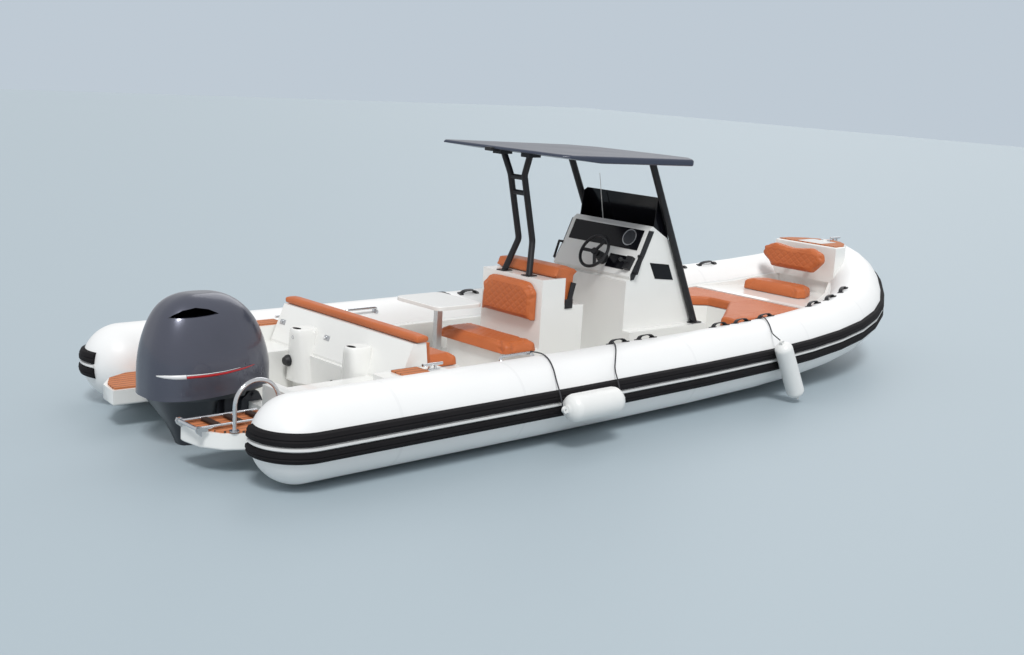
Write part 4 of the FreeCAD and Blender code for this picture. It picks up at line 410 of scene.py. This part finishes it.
# degrees between two faces above which their edge stays crisp
smoothNodes = {
    "tube_collar": 38, "rub_strakes": 32, "strake_stripe": 32, "hull": 24, "top_cowl": 40,
    "lower_cowl": 40, "leg_housing": 40, "gearcase": 35, "propeller": 35, "vent_hoods": 40,
    "fender_aft": 45, "fender_fore": 45, "steering_wheel": 40, "grab_arch": 40, "rear_mast": 40,
    "front_legs": 40, "deck_fittings": 40, "boarding_ladder": 40, "hardtop": 30, "tube_handles": 40,
    "console_rails": 35, "rigging_gland": 40, "swivel_bracket": 35, "clamp_bracket": 35,
    "seat_module": 30, "swim_platforms": 30, "quarter_blocks": 30,
}
smoothMerge = 0.00002    # corners nearer than this become one
record = frame["record"]
bodyOf = {member: body for body, members in record["behaviour"]["bodies"].items() for member in members}


def shadeCrisp(mesh, degrees):
    mesh.shade_smooth()
    mesh.set_sharp_from_angle(angle=math.radians(degrees))


def smoothCopy(nodeName, crisp):
    source = cadNodes[nodeName]
    mesh = source.data.copy()
    work = bmesh.new()
    work.from_mesh(mesh)
    bmesh.ops.remove_doubles(work, verts=work.verts, dist=smoothMerge)
    work.to_mesh(mesh)
    work.free()
    if "custom_normal" in mesh.attributes:
        mesh.attributes.remove(mesh.attributes["custom_normal"])
    shadeCrisp(mesh, crisp)
    piece = bpy.data.objects.new(nodeName + "Smooth", mesh)
    scene.collection.objects.link(piece)
    weighted = piece.modifiers.new("evenShade", "WEIGHTED_NORMAL")
    weighted.keep_sharp = True
    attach(piece, bodyOf[nodeName])
    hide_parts(nodeName)
    return piece


smoothPieces = {nodeName: smoothCopy(nodeName, crisp) for nodeName, crisp in smoothNodes.items()}
print("smooth copies made:", len(smoothPieces))


# ---- the cowl's stripes

# rows of x, middle height and half height along the cowl's side, from its aft end
stripes = {
    "stripeWhite": {
        "look": "whiteLine",
        "rows": (
            (-0.715, 0.548, 0.004), (-0.68, 0.549, 0.011), (-0.62, 0.549, 0.0145), (-0.56, 0.551, 0.015),
        ),
    },
    "stripeRed": {
        "look": "redLine",
        "rows": (
            (-0.558, 0.547, 0.008), (-0.42, 0.549, 0.0085), (-0.28, 0.555, 0.0075),
            (-0.12, 0.568, 0.005), (-0.03, 0.580, 0.002),
        ),
    },
    "stripeThin": {
        "look": "whiteLine",
        "rows": (
            (-0.558, 0.560, 0.0045), (-0.42, 0.563, 0.003), (-0.28, 0.569, 0.002), (-0.16, 0.578, 0.0012),
        ),
    },
}
# lift off the cowl, thickness, number of steps along it, and how far out the rays start
stripeMaking = {"lift": 0.0008, "thick": 0.0006, "steps": 44, "rayStart": 0.6}
bothSides = ((1, "Port"), (-1, "Starboard"))


def rowAt(rows, x):
    # the stripe's middle and half height at x, between its rows
    for here, there in zip(rows, rows[1:]):
        if here[0] <= x <= there[0]:
            share = (x - here[0]) / (there[0] - here[0])
            return [low + (high - low) * share for low, high in zip(here[1:], there[1:])]
    return rows[-1][1:]


def placeAndNormal(piece, start, way):
    # where a ray meets a piece, and the way that its face looks there
    return piece.ray_cast(Vector(start), Vector(way))[1:3]


def makeStripe(name, stripe, side):
    cowl = smoothPieces["top_cowl"]
    rows = stripe["rows"]
    steps = stripeMaking["steps"]
    points = []
    for number in range(steps + 1):
        x = rows[0][0] + (rows[-1][0] - rows[0][0]) * number / steps
        middle, half = rowAt(rows, x)
        for share in (-1, 0, 1):
            start = (x, side * stripeMaking["rayStart"], middle + half * share)
            place, normal = placeAndNormal(cowl, start, (0, -side, 0))
            points.append(place + normal * stripeMaking["lift"])
    faces = []
    for number in range(steps):
        for level in (0, 1):
            corner = number * 3 + level
            loop = (corner, corner + 3, corner + 4, corner + 1)
            faces.append(loop if side < 0 else loop[::-1])
    mesh = bpy.data.meshes.new(name)
    mesh.from_pydata([point[:] for point in points], [], faces)
    mesh.shade_smooth()
    piece = bpy.data.objects.new(name, mesh)
    scene.collection.objects.link(piece)
    thick = piece.modifiers.new("thick", "SOLIDIFY")
    thick.thickness = stripeMaking["thick"]
    thick.offset = -1
    mesh.materials.append(finish[stripe["look"]])
    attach(piece, "steer")


for name, stripe in stripes.items():
    for side, label in bothSides:
        makeStripe(name + label, stripe, side)
print("cowl stripes laid")


# ---- the dash's gauge and switches, and the small fittings at the stern

gauge = {
    "centre": (3.7145, -0.287, 1.3145), "normal": (-0.9033, 0, 0.4290),
    "radius": 0.076, "rimDepth": 0.014, "faceShare": 0.88, "faceDepth": 0.016, "faceLift": 0.001,
}
switches = {
    "centre": (3.590, -0.255, 1.082), "normal": (-0.8682, 0, 0.4961),
    "pitch": 0.034, "count": 5, "rows": (-0.024, 0.020), "size": (0.018, 0.022, 0.010), "bevel": 0.0015,
}
# the painted-shade oval inside each vent hood's mouth
throatShade = {"x": 0.722, "y": 0.362, "z": 0.6483, "size": (0.0278, 0.0458), "depth": 0.001}
ladderGrips = {
    "places": (-0.5753, -0.4106, -0.2459), "low": -0.734, "high": -0.546, "z": 0.332,
    "wide": 0.047, "thick": 0.019, "bevel": 0.004,
}
# places on the bench's aft face and on the port hood, as y and z
catches = {
    "places": ((0.775, 0.611), (0.146, 0.602)), "size": (0.072, 0.042, 0.008), "bevel": 0.003,
    "lever": (0.030, 0.026, 0.016), "leverPlace": (-0.014, 0, 0.004), "leverBevel": 0.005,
}
hoodRing = {"place": (0.349, 0.586), "radius": 0.011, "bar": 0.003}
sternRayStart = 0.3
smallCrisp = 40          # degrees, as for the smooth copies


def stand(piece, place, normal):
    # turns a piece made flat at the origin so that it stands on a face
    turn = Vector(normal).to_track_quat("Z", "Y").to_matrix().to_4x4()
    piece.data.transform(Matrix.Translation(place) @ turn)


def flatDisc(name, radius, depth, look):
    bpy.ops.object.select_all(action="DESELECT")
    bpy.ops.mesh.primitive_cylinder_add(vertices=48, radius=radius, depth=depth)
    piece = bpy.context.object
    piece.name = name
    shadeCrisp(piece.data, smallCrisp)
    piece.data.materials.append(finish[look])
    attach(piece, "hull")
    return piece


def roundedBlock(name, dimensions, bevel, look):
    bpy.ops.object.select_all(action="DESELECT")
    bpy.ops.mesh.primitive_cube_add(size=1)
    piece = bpy.context.object
    piece.name = name
    piece.data.transform(Matrix.Diagonal((*dimensions, 1)))
    rounding = piece.modifiers.new("round", "BEVEL")
    rounding.width = bevel
    rounding.segments = 3
    bpy.ops.object.modifier_apply(modifier="round")
    shadeCrisp(piece.data, smallCrisp)
    piece.data.materials.append(finish[look])
    return piece


def addGauge():
    normal = Vector(gauge["normal"])
    place = Vector(gauge["centre"])
    rim = flatDisc("gaugeRim", gauge["radius"], gauge["rimDepth"], "brushedAlloy")
    stand(rim, place, normal)
    face = flatDisc("gaugeFace", gauge["radius"] * gauge["faceShare"], gauge["faceDepth"], "gaugeFace")
    stand(face, place + normal * gauge["faceLift"], normal)


def addSwitches():
    normal = Vector(switches["normal"])
    rise = Vector((normal.z, 0, -normal.x))
    for row, lift in enumerate(switches["rows"]):
        for number in range(switches["count"]):
            y = (number - (switches["count"] - 1) / 2) * switches["pitch"]
            place = Vector(switches["centre"]) + Vector((0, y, 0)) + rise * lift
            name = "switch" + str(row) + str(number)
            piece = roundedBlock(name, switches["size"], switches["bevel"], "gaugeFace")
            stand(piece, place, normal)
            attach(piece, "hull")


def addThroatShades():
    # a dark oval just inside each vent hood's mouth, a sheet of painted shade for the shade inside the vent
    for side, label in bothSides:
        piece = flatDisc("throatShade" + label, 1.0, throatShade["depth"], "ventShadeSheet")
        place = Vector((throatShade["x"], side * throatShade["y"], throatShade["z"]))
        piece.data.transform(Matrix.Translation(place) @ Matrix.Diagonal((*throatShade["size"], 1, 1)))


def addLadderGrips():
    # a dark ribbed sleeve round each step of the ladder
    low, high = ladderGrips["low"], ladderGrips["high"]
    size = (ladderGrips["wide"], high - low, ladderGrips["thick"])
    for number, x in enumerate(ladderGrips["places"]):
        piece = roundedBlock("ladderGrip" + str(number), size, ladderGrips["bevel"], "gripRubber")
        piece.data.transform(Matrix.Translation((x, (low + high) / 2, ladderGrips["z"])))
        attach(piece, "ladder")


def addCatches():
    # a plate with its lever on the bench's aft face, twice
    for number, (y, z) in enumerate(catches["places"]):
        place, normal = placeAndNormal(cadNodes["stern_bench"], (sternRayStart, y, z), (1, 0, 0))
        plate = roundedBlock("catch" + str(number), catches["size"], catches["bevel"], "brushedAlloy")
        lever = roundedBlock("catchLever", catches["lever"], catches["leverBevel"], "polishedSteel")
        lever.data.transform(Matrix.Translation(catches["leverPlace"]))
        plate.select_set(True)
        bpy.context.view_layer.objects.active = plate
        bpy.ops.object.join()
        stand(plate, place, normal)
        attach(plate, "hull")


def addHoodRing():
    start = (sternRayStart, *hoodRing["place"])
    place, normal = placeAndNormal(smoothPieces["vent_hoods"], start, (1, 0, 0))
    bpy.ops.object.select_all(action="DESELECT")
    bpy.ops.mesh.primitive_torus_add(
        major_radius=hoodRing["radius"], minor_radius=hoodRing["bar"],
        major_segments=40, minor_segments=14,
    )
    piece = bpy.context.object
    piece.name = "hoodRing"
    piece.data.shade_smooth()
    piece.data.materials.append(finish["polishedSteel"])
    stand(piece, place, normal)
    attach(piece, "hull")


addGauge()
addSwitches()
addLadderGrips()
addThroatShades()
addCatches()
addHoodRing()
print("gauge, switches, throats and catches added")


# ---- padded seats

padSettings = {
    "merge": 0.00001, "voxel": 0.012, "softening": 0.5, "softenTurns": 3, "shrink": 0.003,
    "held": 0.006,           # how far from its resting side a pad is held flat
    "pressure": 4.0, "quality": 4, "frames": 20, "quickShare": 0.4,
    "stitchDepth": 0.0032, "stitchWidth": 0.006, "weltShare": 0.75,
    "facing": 0.35, "fade": 3,    # the sewing fades out where the side turns away
}
upwards = (0, 0, 1)
astern = (-1, 0, 0)
# front is the way the crowned side faces, and cap the furthest that the cloth swells
# channels is the pitch of straight seams, diamond a quilted cell's width and height, margin its plain edge
pads = {
    "stern_bolster": {"front": upwards, "cap": 0.008, "channels": 0.58},
    "bench_cushions": {"front": upwards, "cap": 0.016, "channels": 0.537},
    "aft_seat_cushion": {"front": upwards, "cap": 0.020, "diamond": (0.060, 0.095), "margin": 0.055},
    "aft_backrest": {"front": astern, "cap": 0.018, "diamond": (0.078, 0.062), "margin": 0.045},
    "helm_bolster": {"front": upwards, "cap": 0.012, "channels": 0.25},
    "bow_seat_pads": {"front": upwards, "cap": 0.012, "channels": 0.42},
    "bow_cushion": {"front": upwards, "cap": 0.020, "channels": 0.30},
    "bow_backrest": {"front": astern, "cap": 0.018, "diamond": (0.085, 0.068), "margin": 0.055},
}


def looseShells(source):
    # each closed shell of a CAD node as a mesh of its own
    work = bmesh.new()
    work.from_mesh(source.data)
    bmesh.ops.remove_doubles(work, verts=work.verts, dist=padSettings["merge"])
    for face in work.faces:
        face.tag = False
    shells = []
    for start in work.faces:
        if start.tag:
            continue
        start.tag = True
        shell = [start]
        for reached in shell:
            for edge in reached.edges:
                for face in edge.link_faces:
                    if not face.tag:
                        face.tag = True
                        shell.append(face)
        corners = {}
        mesh = bpy.data.meshes.new("shell")
        faces = []
        for face in shell:
            faces.append([corners.setdefault(vert, len(corners)) for vert in face.verts])
        mesh.from_pydata([vert.co[:] for vert in corners], [], faces)
        shells.append(mesh)
    work.free()
    return shells


def applied(piece):
    # the piece's shape with its modifiers applied
    graph = bpy.context.evaluated_depsgraph_get()
    shape = bpy.data.meshes.new_from_object(piece.evaluated_get(graph))
    old = piece.data
    piece.modifiers.clear()
    piece.data = shape
    bpy.data.meshes.remove(old)


def puff(shell, name, pad):
    # a shell remeshed, blown up as cloth and capped, with its resting side held flat
    piece = bpy.data.objects.new(name, shell)
    scene.collection.objects.link(piece)
    remesh = piece.modifiers.new("even", "REMESH")
    remesh.mode = "VOXEL"
    remesh.voxel_size = padSettings["voxel"]
    applied(piece)
    smooth = piece.modifiers.new("soften", "SMOOTH")
    smooth.iterations = padSettings["softenTurns"]
    smooth.factor = padSettings["softening"]
    applied(piece)
    front = Vector(pad["front"])
    mesh = piece.data
    depths = [vert.co.dot(front) for vert in mesh.vertices]
    back = min(depths)
    held = [vert.index for vert, depth in zip(mesh.vertices, depths) if depth < back + padSettings["held"]]
    normals = [vert.normal.copy() for vert in mesh.vertices]
    for vert, normal in zip(mesh.vertices, normals):
        vert.co -= normal * padSettings["shrink"]
    start = [vert.co.copy() for vert in mesh.vertices]
    group = piece.vertex_groups.new(name="held")
    group.add(held, 1.0, "REPLACE")
    cloth = piece.modifiers.new("filling", "CLOTH")
    cloth.settings.vertex_group_mass = "held"
    cloth.settings.use_pressure = True
    cloth.settings.uniform_pressure_force = padSettings["pressure"]
    cloth.settings.effector_weights.gravity = 0
    cloth.settings.quality = padSettings["quality"]
    for number in range(1, padSettings["frames"] + 1):
        scene.frame_set(number)
    applied(piece)
    scene.frame_set(1)
    cap = pad["cap"]
    for vert, before in zip(piece.data.vertices, start):
        moved = vert.co - before
        if moved.length > cap:
            vert.co = before + moved * (cap / moved.length)
    return piece


def stitchLines(pad, along, across):
    # how far a point is from the nearest sewn line, in metres
    if "diamond" in pad:
        wide, high = pad["diamond"]
        steep = math.hypot(wide, high)
        reach = wide * high / steep
        first = (along / wide + across / high) % 1.0
        second = (along / wide - across / high) % 1.0
        return min(first, 1 - first, second, 1 - second) * reach
    pitch = pad["channels"]
    share = (along / pitch + 0.5) % 1.0
    return min(share, 1 - share) * pitch


def stitch(piece, pad):
    # sewn lines pressed into the crowned side, and a welt just inside its edge
    front = Vector(pad["front"])
    side = Vector((0, 1, 0))
    rise = front.cross(side)
    mesh = piece.data
    alongs = [vert.co.dot(side) for vert in mesh.vertices]
    acrosses = [vert.co.dot(rise) for vert in mesh.vertices]
    lowAlong, highAlong = min(alongs), max(alongs)
    lowAcross, highAcross = min(acrosses), max(acrosses)
    middle = (lowAcross + highAcross) / 2
    margin = pad.get("margin", 0.0)
    width, facingLimit = padSettings["stitchWidth"], padSettings["facing"]
    normals = [vert.normal.copy() for vert in mesh.vertices]
    for vert, normal, along, across in zip(mesh.vertices, normals, alongs, acrosses):
        facing = normal.dot(front)
        if facing < facingLimit:
            continue
        inside = min(along - lowAlong, highAlong - along, across - lowAcross, highAcross - across)
        if inside < margin:
            gap = abs(inside - margin * padSettings["weltShare"])
        else:
            gap = stitchLines(pad, along, across - middle)
        press = math.exp(-(gap / width) ** 2) * min(1.0, (facing - facingLimit) * padSettings["fade"])
        vert.co -= front * press * padSettings["stitchDepth"]


def makePad(nodeName, pad):
    shells = [puff(shell, nodeName + "Soft", pad) for shell in looseShells(cadNodes[nodeName])]
    for shell in shells:
        finer = shell.modifiers.new("finer", "SUBSURF")
        finer.levels = 1
        finer.render_levels = 1
        applied(shell)
        stitch(shell, pad)
    bpy.ops.object.select_all(action="DESELECT")
    for shell in shells:
        shell.select_set(True)
    bpy.context.view_layer.objects.active = shells[0]
    if len(shells) > 1:
        bpy.ops.object.join()
    piece = shells[0]
    piece.name = nodeName + "Soft"
    piece.data.shade_smooth()
    piece.data.materials.clear()
    piece.data.materials.append(finish["caramelLeather"])
    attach(piece, "hull")
    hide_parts(nodeName)
    return piece


for nodeName, pad in pads.items():
    made = makePad(nodeName, pad)
    print("padded", nodeName, len(made.data.polygons), "faces")


# ---- fender lines

# each line's route, from the tube over its shoulder to the fender's eye
lineRoutes = {
    "fender_line_aft": (
        (1.942, -0.982, 0.614), (1.913, -1.088, 0.630), (1.879, -1.191, 0.641), (1.840, -1.296, 0.625),
        (1.801, -1.387, 0.579), (1.759, -1.464, 0.517), (1.728, -1.533, 0.462), (1.708, -1.583, 0.402),
        (1.698, -1.613, 0.352),
    ),
    "fender_line_middle": (
        (2.691, -1.115, 0.651), (2.645, -1.188, 0.650), (2.584, -1.263, 0.639), (2.514, -1.333, 0.613),
        (2.445, -1.397, 0.571), (2.383, -1.454, 0.526), (2.342, -1.531, 0.464), (2.316, -1.582, 0.405),
        (2.303, -1.613, 0.352),
    ),
    "fender_line_fore": (
        (4.640, -1.074, 0.683), (4.600, -1.152, 0.680), (4.550, -1.226, 0.666), (4.496, -1.298, 0.639),
        (4.441, -1.363, 0.598), (4.392, -1.425, 0.592), (4.352, -1.495, 0.583), (4.326, -1.553, 0.570),
    ),
}
lineThickness = 0.010


def makeLine(nodeName, route):
    curve = bpy.data.curves.new(nodeName + "Rope", "CURVE")
    curve.dimensions = "3D"
    spline = curve.splines.new("NURBS")
    spline.points.add(len(route) - 1)
    for point, place in zip(spline.points, route):
        point.co = (*place, 1)
    spline.order_u = 3
    spline.use_endpoint_u = True
    spline.resolution_u = 12
    curve.bevel_depth = lineThickness / 2
    curve.bevel_resolution = 4
    curve.use_fill_caps = True
    curve.materials.append(finish["blackRope"])
    piece = bpy.data.objects.new(nodeName + "Rope", curve)
    scene.collection.objects.link(piece)
    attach(piece, "hull")
    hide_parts(nodeName)


for nodeName, route in lineRoutes.items():
    makeLine(nodeName, route)
print("fender lines laid")
